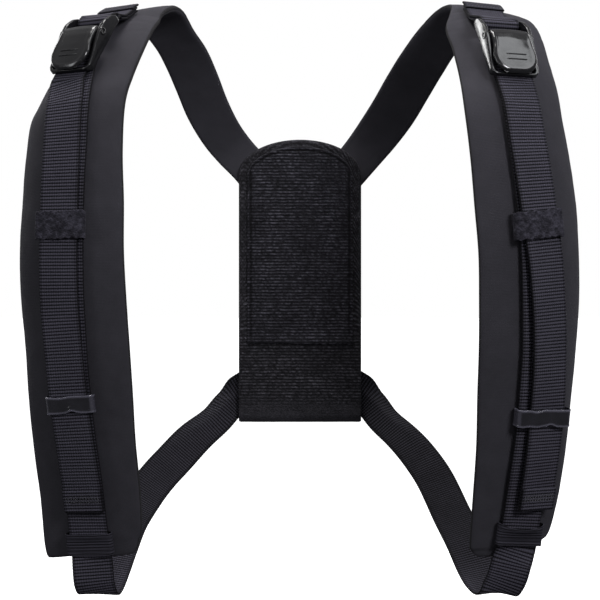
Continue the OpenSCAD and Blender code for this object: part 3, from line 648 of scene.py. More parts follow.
GUIDE_R = np.array([
    [136.5, -65, -353, 14, 0, 21, 17, 3, 5, 2.6, -6],
    [137, -66, -350, 14, 0, 27, 22, 3, 7, 3.6, -6],
    [138, -68, -344, 15, 0, 29.5, 27, 4, 9, 4, -6],
    [141.5, -75, -316, 18, 0, 32, 32.5, 5, 13, 4, -4],
    [145, -84, -285, 20, 0, 34.5, 35, 6, 16, 4, -1],
    [147.5, -90, -254, 21, 0, 36.5, 36.5, 8, 18, 4, 0],
    [149, -94, -222, 22, 0, 37.5, 39.5, 8, 20, 4, 0],
    [149, -96, -191, 22, 0, 37.5, 41.5, 8, 20, 4, 0],
    [148, -97, -160, 22, 0, 37, 42, 8, 20, 4, 0],
    [145, -96, -129, 22, 3, 36.5, 43.5, 8, 20, 4, 0],
    [141, -92, -97, 23, 9, 35, 43.5, 8, 18, 4, 0],
    [137, -84, -67, 22, 20, 34, 41.5, 8, 15, 4, 0],
    [133, -70, -46, 17, 34, 31.5, 39.5, 8, 11, 4, 0],
    [129.5, -52, -27, 14, 48, 31, 37, 7, 7, 4, 0],
    [126, -33, -12, 10, 61, 31, 36, 5, 4, 3.6, 0],
    [123, -14, 0, 7, 75, 25, 33, 4, 3, 3.4, 0],
    [117, 5, 6, 9, 91, 18, 29, 2, 2, 3.2, 0],
    [107, 21, 3, 9, 106, 16.5, 21, 1, 1, 3, 0],
    [95, 36, -10, 8, 126, 16, 17, 1, 1, 2.8, 0],
    [84, 52, -27, 5, 143, 16.5, 16.5, 0, 0, 2.6, 0],
    [75, 66, -42, 4, 155, 16.5, 16.5, 0, 0, 2.4, 0],
    [66, 77, -57, 3, 163, 16, 16.5, 0, 0, 2.2, 0],
    [56, 86, -71, 1, 171, 15, 16, 0, 0, 2, 0],
    [46, 91.4, -84, 0, 178, 14, 15, 0, 0, 1.8, 0],
    [36, 92.4, -97, 0, 180, 14, 14, 0, 0, 1.8, 0],
    [26, 92.4, -110, 0, 180, 14, 13, 0, 0, 1.8, 0],
    [17, 92.4, -122, 0, 180, 13, 13, 0, 0, 1.8, 0],
], float)
REAR_L = np.array([
    [-14, 91.2, -240, -0.62, 0, 0.78],
    [-32, 91.2, -251, -0.62, 0, 0.78],
    [-49, 91.3, -262, -0.64, 0, 0.77],
    [-60, 86, -274, -0.66, 0.06, 0.75],
    [-73, 77, -286, -0.68, 0.1, 0.73],
    [-86, 64, -300, -0.72, 0.1, 0.69],
    [-97, 48, -312, -0.76, 0.1, 0.64],
    [-107, 28, -325, -0.84, 0.08, 0.54],
    [-115, 5, -339, -0.91, 0.05, 0.41],
    [-120, -18, -354, -0.97, 0.02, 0.22],
    [-124, -38, -368, -1, 0, 0.06],
    [-127, -52, -377, -1, 0, 0.03],
    [-129, -61, -378.5, -1, 0, 0.03],
    [-131, -67, -372, -1, 0, 0.03],
    [-132, -69, -361, -1, 0.03, 0.02],
], float)
REAR_R = np.array([
    [14, 91.2, -240, 0.6, 0, 0.8],
    [32, 91.2, -250, 0.6, 0, 0.8],
    [49, 91.4, -261, 0.6, 0, 0.79],
    [60, 86, -274, 0.58, 0.18, 0.77],
    [71, 77, -285, 0.62, 0.34, 0.68],
    [82, 65, -298, 0.7, 0.4, 0.56],
    [91, 50, -311, 0.78, 0.34, 0.5],
    [98, 31, -325, 0.84, 0.25, 0.44],
    [104, 9, -339, 0.9, 0.16, 0.38],
    [110, -13, -352, 0.95, 0.08, 0.28],
    [116, -33, -367, 0.99, 0.02, 0.12],
    [121, -49, -375.5, 1, 0, 0.03],
    [126.3, -60, -378, 1, 0, 0],
    [131.3, -66, -370, 1, 0, -0.02],
    [134.8, -69, -358, 1, 0.02, -0.02],
], float)
LIE = {
    -1: dict(
        main=[[2.5, 0], [5, -0.6], [6.5, -1.5], [9.5, -1.8], [11.3, -3.2]],
        tail=[[2.5, 0], [5, 0.6], [6.5, 1.5], [10, 1.5], [12.5, 0]],
        tilt=[[2.5, 0], [14, 0]],
    ),
    1: dict(
        main=[[0, 0], [14, 0]],
        tail=[[2.5, 6.5], [5, 6], [6.5, 4.5], [8.5, 1.5], [10, 0.5], [12, 0]],
        tilt=[[2.5, 12], [3.8, 11], [4.7, 7], [5.6, 11], [7, 10], [8.5, 4], [10, 0]],
    ),
}
WEB_W, WEB_T, PLY_GAP = 26.0, 1.5, 0.5
MAIN_OFF = 2.5
TAIL_OFF = MAIN_OFF + WEB_T + PLY_GAP
MID_OFF = (MAIN_OFF + TAIL_OFF) / 2
RUN_FROM, RUN_TO, TAIL_END = 1.6, 11.3, 2.85
TAB_FROM, TAB_TO, TAB_LIE = 14.175, 15.0, -3.0
BK_LIFT, BK_W, BK_WALL = 3.0, 33.0, 2.6
BK_IN = BK_W - 2 * BK_WALL
BAR_Y, BAR_Z, BAR_R = 1.0, 1.9, 1.9
ANC_Y, ANC_Z, ANC_R = 20.8, 2.2, 2.0
PIN_Y, PIN_Z, PIN_R = 5.5, 8.2, 1.25
LIP_Y, TIP_Y, TOP_Y = -23.7, -24.8, 23.5
LEVER_W, THUMB_W = BK_IN - 1.0, BK_IN + 1.8
SKIN_T, LAM = 0.6, 0.2
SIDES = {-1: ("left", GUIDE_L, REAR_L, 12.4), 1: ("right", GUIDE_R, REAR_R, 12.3)}


def look(u, tab):
    a = np.array(tab, float)
    return np.interp(u, a[:, 0], a[:, 1])


class Local:
    """Local frame of a guide station: x across (towards +X), y along, z outward."""

    def __init__(self, p, n, w, t, side):
        self.o, self.x, self.y, self.z, self.side = p, side * w, t, n, side

    def __call__(self, pts):
        q = np.asarray(pts, float)
        return self.o + q[..., :1] * self.x + q[..., 1:2] * self.y + q[..., 2:3] * self.z


def local_at(side, u, h=0.3, lift=0.0):
    p, n, w, t, _ = station(SIDES[side][1], side, u, h)
    return Local(p[0] + n[0] * lift, n[0], w[0], t[0], side)


def buckle_local(side):
    """Set out from the middle of the lip: the top leans towards the neck and lifts off the band."""
    p, n, w, t, _ = station(SIDES[side][1], side, SIDES[side][3], 0.7)
    p, n, w, t = p[0], n[0], w[0], t[0]
    yaw, tilt = math.radians(8 if side < 0 else 4.5), math.radians(6)
    lip = p + n * BK_LIFT - t * (16.5 if side < 0 else 18.5)
    w1 = w * math.cos(yaw) + t * math.sin(yaw)
    t1 = t * math.cos(yaw) - w * math.sin(yaw)
    t2 = t1 * math.cos(tilt) + n * math.sin(tilt)
    return Local(lip - t2 * LIP_Y, n * math.cos(tilt) - t1 * math.sin(tilt), w1, t2, side)


# ------------------------------------------------------------------ shoulder bands
def build_band(side):
    name, tab, _, _ = SIDES[side]
    n_u = 421
    u = np.linspace(0, len(tab) - 1, n_u)
    # even spacing along the guide
    fine = np.linspace(0, len(tab) - 1, 4000)
    path = row_at(tab, fine)[:, :3]
    arc = np.r_[0, np.cumsum(np.linalg.norm(np.diff(path, axis=0), axis=1))]
    s_even = np.linspace(0, arc[-1], n_u)
    s_even = np.r_[0, 0.35, 0.9, 1.7, s_even[2:-2], arc[-1] - 1.7, arc[-1] - 0.9, arc[-1] - 0.35, arc[-1]]
    u = np.interp(s_even, arc, fine)
    p, n, W, T, row = station(tab, side, u, 0.34)
    t = 2 * SKIN_T + 2 * LAM + row[:, 9]
    wi, wo, ci, co, skew = row[:, 5], row[:, 6], row[:, 7], row[:, 8], row[:, 10]
    n_flat, n_edge = 41, 7
    # section: across coordinate q in mm from the guide, and depth 0 (outer) to 1 (inner)
    rings_q, rings_d = [], []
    end_cap = np.minimum(1, np.sqrt(np.clip(1 - (1 - np.minimum(s_even, arc[-1] - s_even) / 2.2).clip(0, 1) ** 2, 0, 1)) + 0.12)
    r_edge = t * 0.62
    qn = np.linspace(0, 1, n_flat)
    for flip in (0, 1):
        qs = -(wi - r_edge)[:, None] + ((wi - r_edge) + (wo - r_edge))[:, None] * (qn if flip == 0 else qn[::-1])[None]
        rings_q.append(qs), rings_d.append(np.full_like(qs, float(flip)))
        a = np.radians(np.linspace(90, -90, n_edge + 2)[1:-1])
        dep = 0.5 - 0.5 * np.sin(a)
        if flip == 0:
            rings_q.append((wo - r_edge)[:, None] + r_edge[:, None] * np.cos(a)[None])
            rings_d.append(np.repeat(dep[None], len(u), 0))
        else:
            rings_q.append(-(wi - r_edge)[:, None] - r_edge[:, None] * np.cos(a)[None])
            rings_d.append(np.repeat(1 - dep[None], len(u), 0))
    q, d = np.concatenate(rings_q, 1), np.concatenate(rings_d, 1)
    w = np.where(q < 0, wi[:, None], wo[:, None])
    c = np.where(q < 0, ci[:, None], co[:, None])
    k = np.clip(q / w, -1.0, 1.0)
    slope = 2 * c * np.abs(k) / w * np.where(k < 0, -1, 1)
    nk = unit(n[:, None] + slope[..., None] * W[:, None])
    S = s_even[:, None]
    # soft unevenness of a foam laminate, shallow creases where it turns over the shoulder
    soft = 0.28 * fbm(S / 31.0, q / 24.0 + 40 * side) + 0.10 * fbm(S / 9.0, q / 8.0 + 11)
    turn = smooth(u, 12.4, 14.2) * (1 - smooth(u, 17.5, 19.5))
    crease = -0.30 * turn[:, None] * np.maximum(0, np.sin(S / 2.6 + 2.0 * vnoise(S / 14.0, q / 16.0))) ** 3 * (0.5 + 0.5 * vnoise(S / 11.0, q / 9.0))
    rim = np.minimum(np.abs(q + wi[:, None]), np.abs(q - wo[:, None]))
    stitch_dip = -0.22 * np.exp(-(((rim - 3.4) / 1.3) ** 2)) * (1 - d)
    depth = t[:, None] * d
    off = -depth + np.where(d < 0.5, soft + stitch_dip + crease, -soft * 0.6 + crease)
    # the section closes at both ends
    mid = -t[:, None] / 2
    off = mid + (off - mid) * end_cap[:, None]
    pts = p[:, None] + W[:, None] * q[..., None] - n[:, None] * (c * k * k)[..., None] - T[:, None] * (skew[:, None] * k)[..., None] + nk * off[..., None]
    m, nn = q.shape
    us = np.concatenate([q, q[:, :1]], 1) * 0.1
    vs = np.repeat((s_even * 0.1)[:, None], nn + 1, 1)
    V, F, U = sweep(pts, us, vs)
    fm = np.zeros(len(F), int)
    # the die-cut edge shows the foam between the two cloths
    col = np.arange(nn)
    dd = d[m // 2]
    edge_cols = [(j in range(n_flat, n_flat + n_edge)) or (j >= 2 * n_flat + n_edge) for j in col]
    core = np.array([e and 0.22 < dd[j] < 0.70 for j, e in zip(col, edge_cols)])
    fm[: (m - 1) * nn] = np.tile(core.astype(int), m - 1)
    o = finish_mesh(
        f"shoulder_band_{name}", V, F, U, JERSEY, "harness",
        (f"band_skin_{name}", f"band_foam_{name}", f"band_lining_{name}"),
        mats=[JERSEY, FOAM_EDGE], face_mat=fm,
    )
    return o


# ------------------------------------------------------------------ adjuster webbing
def tail_pt(side, u):
    name, tab, _, _ = SIDES[side]
    L = LIE[side]
    p, n, W, T, _ = station(tab, side, u, 0.3)
    b, v = np.radians(look(u, L["tilt"])), look(u, L["tail"])
    h = np.maximum(0, (np.atleast_1d(u) - 10.2) * 0.3) + (WEB_W / 2 - v) * np.sin(b)
    return (p + n * (TAIL_OFF + h)[:, None] + W * np.atleast_1d(v)[:, None],
            W * np.cos(b)[:, None] - n * np.sin(b)[:, None])


def webbing_route(side):
    name, tab, rear, _ = SIDES[side]
    L = LIE[side]
    M = buckle_local(side)
    wdir = side * M.x
    main_z = BAR_Z - BAR_R - 0.2 - WEB_T / 2
    turn_r = BAR_R + 0.2 + WEB_T / 2
    P, W = [], []
    r = row_at(rear, np.arange(0, (len(rear) - 1) * 8 + 1) / 8.0)
    P.append(r[:, :3]), W.append(unit(r[:, 3:6]))
    u = np.arange(RUN_FROM, RUN_TO + 1e-6, 0.1)
    p, n, w, t, _ = station(tab, side, u, 0.3)
    P.append(p + n * MAIN_OFF + w * look(u, L["main"])[:, None]), W.append(w)
    for q in [[-18, 0.75], [-10, 0.35], [-4, 0]]:
        P.append(M([[side * q[1] * look(RUN_TO, L["main"]), q[0], main_z]])), W.append(wdir[None])
    for a in np.radians(np.arange(-90, 91, 11.25)):
        P.append(M([[0, BAR_Y + turn_r * math.cos(a), BAR_Z + turn_r * math.sin(a)]])), W.append(wdir[None])
    for q in [[-5, 4.4], [-10.5, 2.8], [-16, 1.4], [-20.5, 0.95], [-25, 0.95], [-29.5, 1.0]]:
        P.append(M([[0, q[0], q[1]]])), W.append(wdir[None])
    u = np.arange(RUN_TO - 0.35, TAIL_END - 1e-6, -0.1)
    p, w = tail_pt(side, u)
    P.append(p), W.append(w)
    return np.concatenate(P), np.concatenate(W)


RIB = {}


def build_webbing(side):
    name = SIDES[side][0]
    P, W = webbing_route(side)
    # hem: the tail's end is folded back on itself, outward
    t_end = unit(P[-1] - P[-2])
    n_end = unit(np.cross(t_end, W[-1]))
    out = station(SIDES[side][1], side, TAIL_END)[1][0]
    if n_end @ out < 0:
        n_end = -n_end
    hem_r = 0.86
    arc = [P[-1] + n_end * hem_r * (1 - math.cos(a)) + t_end * hem_r * math.sin(a) for a in np.radians(np.arange(20, 181, 20))]
    back = [P[-1] + n_end * (2 * hem_r) - t_end * x for x in (2, 4, 6, 8, 10, 12, 13.5)]
    wend = W[-1]

    def crease(s):
        # the upper part of the strap turns back where it leaves the back pad
        up = smooth(s, 30, 44) * (1 - smooth(s, 52, 112))
        return -up * math.radians(46), 13.0 - 12.0 * (0.45 + 0.55 * (1 - smooth(s, 48, 110)))

    # sign of the fold: towards the wearer's back
    R0 = Ribbon(P, W, sigma=0.9)
    k = int(len(R0.s) * 0.06)
    flip = 1 if R0.B[k][1] < 0 else -1

    def crease2(s):
        a, v0 = crease(s)
        return a * flip, v0

    R = Ribbon(P, W, sigma=0.9, crease=crease2, wander=0.18)
    RIB[side] = R
    H = Ribbon(np.array(arc + back), np.repeat(wend[None], len(arc) + len(back), 0), sigma=0.35, width=WEB_W - 0.3, t=1.45)
    hv, hf, hu = H.mesh
    V, F, U = merge([R.mesh, (hv, hf, [(a, b + 80.0) for a, b in hu])])
    finish_mesh(f"webbing_{name}", V, F, U, WEBBING_RUN, "harness", (f"adjuster_webbing_{name}",), relief=np.r_[R.relief, H.relief])
    # zigzag bar tack through the hem
    parts = []
    for dist in (6.2, 8.6):
        n = 11
        pts = []
        for i in range(n * 2 + 1):
            v = -11 + 22 * i / (n * 2)
            y = dist + (1.1 if i % 2 else -1.1)
            pts.append(P[-1] + wend * v + n_end * (2 * hem_r + WEB_T / 2 + 0.22) - t_end * y)
        parts.append(tube(pts, 0.27))
    V, F, U = merge(parts)
    finish_mesh(f"tail_tack_{name}", V, F, U, THREAD, "harness", (f"tail_bartack_{name}",))


# ------------------------------------------------------------------ anchor tab
def build_tab(side):
    name, tab, _, _ = SIDES[side]
    M = buckle_local(side)
    wdir = side * M.x
    tab_r = ANC_R + 0.2 + WEB_T / 2
    P, W = [], []
    up = lambda u: np.maximum(0, 14.5 - u)[:, None] * 2.5
    u = np.arange(TAB_TO, TAB_FROM - 1e-6, -0.055)
    p, n, w, t, _ = station(tab, side, u, 0.3)
    P.append(p + n * (0.3 + WEB_T / 2 + up(u)) + w * TAB_LIE), W.append(w)
    for q in ((1, 27.5, -1.9), (0, 24, -1.1)):
        P.append(M([[side * q[0], q[1], q[2]]])), W.append(wdir[None])
    for a in np.radians(np.arange(270, 89, -15)):
        P.append(M([[0, ANC_Y + tab_r * math.cos(a), ANC_Z + tab_r * math.sin(a)]])), W.append(wdir[None])
    for q in ((0, 24, 4.3), (1, 27.5, 2.0)):
        P.append(M([[side * q[0], q[1], q[2]]])), W.append(wdir[None])
    u = np.arange(TAB_FROM, TAB_TO + 0.001, 0.055)
    p, n, w, t, _ = station(tab, side, u, 0.3)
    P.append(p + n * (0.7 + 1.5 * WEB_T + up(u)) + w * TAB_LIE), W.append(w)
    R = Ribbon(np.concatenate(P), np.concatenate(W), sigma=0.7, wander=0.1)
    # a folded end on top, where the tab is sewn down
    u = np.arange(TAB_TO + 0.13, TAB_TO - 0.36, -0.05)
    p, n, w, t, _ = station(tab, side, u, 0.3)
    top = Ribbon(p + n * (0.7 + 2.5 * WEB_T - 0.1) + w * TAB_LIE, w, sigma=0.5, width=WEB_W + 0.6, t=1.3)
    V, F, U = merge([R.mesh, top.mesh])
    finish_mesh(f"anchor_tab_webbing_{name}", V, F, U, WEBBING, "harness", (f"anchor_tab_{name}",), relief=np.r_[R.relief, top.relief])
    parts = []
    for uc in (TAB_TO + 0.02, TAB_TO - 0.13, TAB_TO - 0.27):
        pts = []
        for i in range(23):
            v = -11.5 + 23 * i / 22
            uu = uc + (0.035 if i % 2 else -0.035)
            pp, nn, ww, tt, _ = station(tab, side, uu, 0.3)
            pts.append(pp[0] + nn[0] * (0.7 + 3 * WEB_T + 0.12) + ww[0] * (v + TAB_LIE))
        parts.append(tube(pts, 0.27))
    V, F, U = merge(parts)
    finish_mesh(f"anchor_tab_stitching_{name}", V, F, U, THREAD, "harness", (f"anchor_stitches_{name}",))


# ------------------------------------------------------------------ buckle
WALL_TOP = np.array([[-23.7, 5.0], [-20, 5.4], [-15, 6.4], [-8, 8.2], [-1, 10.0], [4, 11.1], [12, 11.1], [19.5, 8.2], [23.5, 4.6]])
LEVER_TOP = np.array([[-24.8, 7.3], [-24, 8.1], [-21, 9.2], [-15, 10.8], [-8, 12.3], [-1, 13.3], [4, 13.2], [7.4, 12.0], [8.6, 9.6]])
LEVER_BOT = np.array([[-24.8, 6.7], [-24.2, 6.5], [-20, 7.2], [-15, 8.2], [-8, 9.3], [-2, 8.7], [0, 7.0], [0.6, 6.0], [1.6, 5.75], [3.4, 5.4], [5.5, 5.0], [7.8, 6.0], [8.6, 8.4]])


def soft_interp(x, tab, r=1.6):
    """Piecewise line with its corners rounded over r."""
    x = np.atleast_1d(x)
    k = np.linspace(-r, r, 9)
    return np.mean([np.interp(x + d, tab[:, 0], tab[:, 1]) for d in k], axis=0)


def rounded_rect(t, h, r, n=4):
    """Section points (a across, b up) of a rounded rectangle, centred."""
    out = []
    for cx, cy, a0 in ((1, 1, 0), (-1, 1, 90), (-1, -1, 180), (1, -1, 270)):
        for a in np.radians(np.linspace(a0, a0 + 90, n)):
            out.append((cx * (t / 2 - r) + r * math.cos(a), cy * (h / 2 - r) + r * math.sin(a)))
    return np.array(out)


def build_buckle_frame(side):
    name = SIDES[side][0]
    M = buckle_local(side)
    cr = 4.5
    path, tt, zlo, zhi = [], [], [], []
    hw = BK_W / 2
    for y in np.linspace(TOP_Y, LIP_Y + cr, 90):
        path.append((-hw + BK_WALL / 2, y)), tt.append(BK_WALL), zlo.append(0.0), zhi.append(float(soft_interp(y, WALL_TOP)[0]))
    for a in np.linspace(180, 270, 15)[1:]:
        f = (a - 180) / 90
        th = BK_WALL + (2.0 - BK_WALL) * f
        rr = cr - th / 2
        path.append((-hw + cr + rr * math.cos(math.radians(a)), LIP_Y + cr + rr * math.sin(math.radians(a))))
        tt.append(th)
        g = smooth(f, 0.15, 0.95)
        zlo.append(2.0 * float(g))
        zhi.append(float(soft_interp(LIP_Y + cr * (1 - f), WALL_TOP)[0]) * (1 - f) + 5.05 * f)
    for x in np.linspace(-hw + cr, 0, 16)[1:]:
        path.append((x, LIP_Y + 1.0)), tt.append(2.0), zlo.append(2.0), zhi.append(5.05 - 0.25 * (1 - abs(x) / (hw - cr)) ** 2)
    path = np.array(path)
    left = len(path)
    full = np.concatenate([path, path[:-1][::-1] * [-1, 1]])
    tt = np.array(tt + tt[:-1][::-1])
    zlo = np.array(zlo + zlo[:-1][::-1])
    zhi = np.array(zhi + zhi[:-1][::-1])
    tan = unit(np.gradient(full, axis=0))
    nor = np.stack([-tan[:, 1], tan[:, 0]], -1)
    rings = []
    for i in range(len(full)):
        e = min(i, len(full) - 1 - i)
        k = (0.55, 0.86, 0.97)[e] if e < 3 else 1.0
        h = (zhi[i] - zlo[i])
        sec = rounded_rect(tt[i] * k, h * (0.75 + 0.25 * k if e < 3 else 1), min(0.75 * k, h * 0.45), 5)
        zc = zlo[i] + h / 2 if e >= 3 else zlo[i] + h * (0.75 + 0.25 * k) / 2
        rings.append([(full[i][0] + nor[i][0] * a, full[i][1] + nor[i][1] * a, zc + b) for a, b in sec])
    rings = np.array(rings)
    us = np.repeat(np.linspace(0, 1.8, rings.shape[1] + 1)[None], len(rings), 0)
    vs = np.repeat(np.linspace(0, 9, len(rings))[:, None], rings.shape[1] + 1, 1)
    parts = [sweep(rings, us, vs)]
    for y, z, r in ((BAR_Y, BAR_Z, BAR_R), (ANC_Y, ANC_Z, ANC_R)):
        parts.append(tube([(x, y, z) for x in np.linspace(-hw + 1.2, hw - 1.2, 9)], r, sides=28, round_ends=False))
    # boss and recessed pin head on each wall
    for sx in (-1, 1):
        prof = [(0.0, -1.2), (1.30, -1.2), (1.30, 0.25), (1.55, 0.42), (2.35, 0.42), (2.75, 0.15), (2.95, -0.9)]
        ring = []
        for i in range(28):
            a = i * 2 * math.pi / 28
            ring.append([(sx * (hw + px - 0.0), PIN_Y + r * math.cos(a), PIN_Z + r * math.sin(a)) for r, px in prof[1:]])
        ring = np.array(ring)
        nn = ring.shape[1]
        V = ring.reshape(-1, 3)
        F, U = [], []
        for i in range(28):
            i2 = (i + 1) % 28
            for j in range(nn - 1):
                F.append((i * nn + j, i2 * nn + j, i2 * nn + j + 1, i * nn + j + 1))
                U += [(0.1 * i, 0.1 * j)] * 4
        F.append(tuple(i * nn for i in range(28))), U.extend([(0, 0)] * 28)
        F.append(tuple(i * nn + nn - 1 for i in reversed(range(28)))), U.extend([(0, 0)] * 28)
        parts.append((V, F, U))
    V, F, U = merge(parts)
    return finish_mesh(f"buckle_body_{name}", M(V), F, U, BUCKLE, "harness", (f"buckle_frame_{name}",))


def build_buckle_lever(side):
    name = SIDES[side][0]
    M = buckle_local(side)
    r, rf = 11.5, 1.35
    plan = lambda y: THUMB_W / 2 + (LEVER_W - THUMB_W) / 2 * smooth(y, -13.0, -3.0)
    ys = np.r_[TIP_Y + r * (1 - np.cos(np.linspace(0.02, math.pi / 2, 30))), np.linspace(TIP_Y + r, 7.2, 56)[1:], [7.6, 8.0, 8.3, 8.5, 8.6]]
    ztop, zbot = soft_interp(ys, LEVER_TOP, 1.1), soft_interp(ys, LEVER_BOT, 0.5)
    ztop[-5:] = [11.7, 11.3, 10.8, 10.1, 9.6]
    zbot[-5:] = [5.9, 6.3, 6.9, 7.7, 8.4]
    wy = np.where(ys < TIP_Y + r, (plan(ys) - r) + np.sqrt(np.clip(r * r - (ys - (TIP_Y + r)) ** 2, 0, None)), plan(ys))
    th = np.radians(np.linspace(-90, 90, 45))
    rings = []
    for y, zt, zb, w in zip(ys, ztop, zbot, wy):
        x, W = w * np.sin(th), plan(y)
        # distance to the plan outline
        ax = np.abs(x)
        inside = np.where(y < TIP_Y + r, np.where(ax > W - r, r - np.hypot(ax - (W - r), y - (TIP_Y + r)), y - TIP_Y), W - ax)
        inside = np.minimum(np.clip(inside, 0, None), np.clip(8.6 - y, 0, None) + 0.25)
        d = np.clip(inside / rf, 0, 1)
        drop = rf * (1 - np.sqrt(1 - (1 - d) ** 2))
        crown = 0.85 * (1 - (x / W) ** 2) - 0.25
        # shallow dish inside a fine rim
        rim = 0.22 * np.exp(-(((inside - 1.9) / 0.55) ** 2)) - 0.10 * smooth(inside, 2.0, 4.0)
        top = np.maximum(zt + crown + rim - drop, zb + 0.35)
        top[0] = top[-1] = max(zt - rf, zb + 0.3)
        under = np.clip(inside / 0.5, 0, 1)
        bot = zb + 0.35 * (1 - np.sqrt(1 - (1 - under) ** 2))
        ring = [(xx, y, zz) for xx, zz in zip(x, top)] + [(xx, y, zz) for xx, zz in zip(x[::-1], bot[::-1])]
        rings.append(ring)
    rings = np.array(rings)
    us = np.repeat(np.r_[np.linspace(-1.3, 1.3, 45), np.linspace(1.3, -1.3, 45), [-1.3]][None], len(rings), 0)
    vs = np.repeat((ys * 0.1)[:, None], rings.shape[1] + 1, 1)
    parts = [sweep(rings, us, vs)]
    for i in range(2):
        y = -12.7 - 3.5 * i
        z = float(soft_interp(y, LEVER_TOP, 1.1)[0]) + 0.42
        xs = np.linspace(-6.5, 6.5, 15)
        parts.append(tube([(x, y, z + 0.85 * (1 - (x / (THUMB_W / 2)) ** 2) - 0.25 - 0.42) for x in xs], 0.42, sides=12))
    V, F, U = merge(parts)
    return finish_mesh(f"buckle_lever_shell_{name}", M(V), F, U, BUCKLE, f"buckle_lever_{name}", (f"buckle_lever_{name}",))


# ------------------------------------------------------------------ keepers
def loop_path(w, h, r, n):
    """Closed rounded rectangle, counter-clockwise in (x, z) from the bottom middle; returns points and outward normals and arc fraction."""
    pts, nor = [], []
    segs = []
    hw, hh = w / 2, h / 2
    corners = [(hw - r, -hh + r, -90), (hw - r, hh - r, 0), (-hw + r, hh - r, 90), (-hw + r, -hh + r, 180)]
    dense_p, dense_n = [], []
    prev = (0.0, -hh)
    dense_p.append(prev), dense_n.append((0, -1))
    for cx, cz, a0 in corners:
        for a in np.radians(np.linspace(a0, a0 + 90, 24)):
            dense_p.append((cx + r * math.cos(a), cz + r * math.sin(a))), dense_n.append((math.cos(a), math.sin(a)))
    dense_p.append((0.0, -hh)), dense_n.append((0, -1))
    P, Nn = np.array(dense_p), np.array(dense_n)
    s = np.r_[0, np.cumsum(np.linalg.norm(np.diff(P, axis=0), axis=1))]
    q = np.linspace(0, s[-1], n + 1)[:-1]
    return (np.stack([np.interp(q, s, P[:, j]) for j in range(2)], -1), unit(np.stack([np.interp(q, s, Nn[:, j]) for j in range(2)], -1)), q, s[-1])


def build_loop(name, M, w, h, wall, length, mat, body, nodes, n=150, n_y=22, r=2.2, disp=None, bead=0.0, section_r=None, thin=0.0):
    """A band closed round the webbing. disp(x, z, y, q, side_out) returns an (x, y, z) shift in mm, local frame."""
    P, Nn, q, total = loop_path(w + wall, h + wall, r, n)
    sr = section_r or wall * 0.48
    sec = []  # (y, across the wall)
    for y in np.linspace(-length / 2 + sr, length / 2 - sr, n_y):
        sec.append((y, 1.0))
    for a in np.radians([60, 30, 0, -30, -60]):
        sec.append((length / 2 - sr + sr * math.cos(a), math.sin(a)))
    for y in np.linspace(length / 2 - sr, -length / 2 + sr, n_y):
        sec.append((y, -1.0))
    for a in np.radians([240, 210, 180, 150, 120]):
        sec.append((-length / 2 + sr + sr * math.cos(a), math.sin(a)))
    sec = np.array(sec)
    y = np.repeat(sec[:, 0][None], n, 0)
    o = np.repeat(sec[:, 1][None], n, 0)
    thick = np.where(o > 0, wall / 2 + bead * np.exp(-(((np.abs(y) - (length / 2 - 0.75)) / 0.6) ** 2)), wall / 2 - thin)
    x = P[:, :1] + Nn[:, :1] * o * thick
    z = P[:, 1:] + Nn[:, 1:] * o * thick
    Q = np.repeat(q[:, None], len(sec), 1)
    NX, NZ = np.repeat(Nn[:, :1], len(sec), 1), np.repeat(Nn[:, 1:], len(sec), 1)
    if disp is not None:
        x, y, z = disp(x, y, z, Q, o, NX, NZ)
    rings = M(np.stack([x, y, z], -1))
    us = np.repeat((np.r_[sec[:, 0], sec[0, 0]] * 0.1)[None], n, 0)
    vs = np.repeat((q * 0.1)[:, None], len(sec) + 1, 1)
    V, F, U = sweep(rings, us, vs, closed=True)
    # relief for the colour: a painted highlight along the TPU ring's rims, painted shade in the webbing keeper's rib
    # valleys, random tone on the pile keeper; the inside faces get none, which paints them in shade
    rim = np.maximum(smooth(np.abs(sec[:, 0])[None], length / 2 - 1.9, length / 2 - 0.9), 0.55 * smooth(np.abs(P[:, :1]), w / 2 - 1.6, w / 2 - 0.4))
    if mat is not TPU:
        rim = 0.62 + 0.38 * fbm(Q / 2.2 + 3, y / 1.8, 3) if mat is PILE_KEEPER else 0.30 + 0.50 * np.abs(np.sin(math.pi * y / PITCH)) ** 0.75
    return finish_mesh(name, V, F, U, mat, body, nodes, relief=(rim * (o > 0)).ravel())


def tilt_rise(u, side):
    L = LIE[side]
    return (WEB_W - look(u, L["tail"])) * math.sin(math.radians(look(u, L["tilt"]))) + WEB_T * 0.2


def build_upper_keeper(side):
    name = SIDES[side][0]
    h = tilt_rise(8.5, side)
    M = local_at(side, 8.5)
    M.o = M.o + M.x * (-0.6 if side < 0 else -0.4) + M.z * (MID_OFF + 0.15 + h / 2)
    w, hh = WEB_W + 5.6, 2 * WEB_T + PLY_GAP + 0.9 + h

    def disp(x, y, z, q, o, nx, nz):
        out = (o > -0.5) * 1.0
        fuzz = 0.30 * fbm(q / 2.6 + 31 * side, y / 2.2, 4) + 0.16 * vnoise(q / 0.9, y / 0.9 + 7)
        d = out * fuzz
        edge = smooth(np.abs(y), 6.8, 8.4)
        y2 = y + edge * np.sign(y) * (0.45 * vnoise(q / 2.4, np.sign(y) * 9) + 0.30 * vnoise(q / 0.8, np.sign(y) * 5))
        # a soft swell across the face and a soft droop of the lower edge on the free side
        top = smooth(z, 0.5, 2.0)
        droop = top * (0.055 * (x * side) * (1 if side < 0 else -0.6))
        bulge = top * 0.35 * np.cos(np.clip(x / (w / 2), -1, 1) * math.pi / 2)
        return x + nx * d, y2 - droop * 0.6, z + nz * d + bulge

    build_loop(f"pile_keeper_{name}", M, w, hh, 0.95, 17.4, PILE_KEEPER, "harness", (f"upper_keeper_{name}",), n=230, n_y=38, r=2.4, disp=disp)


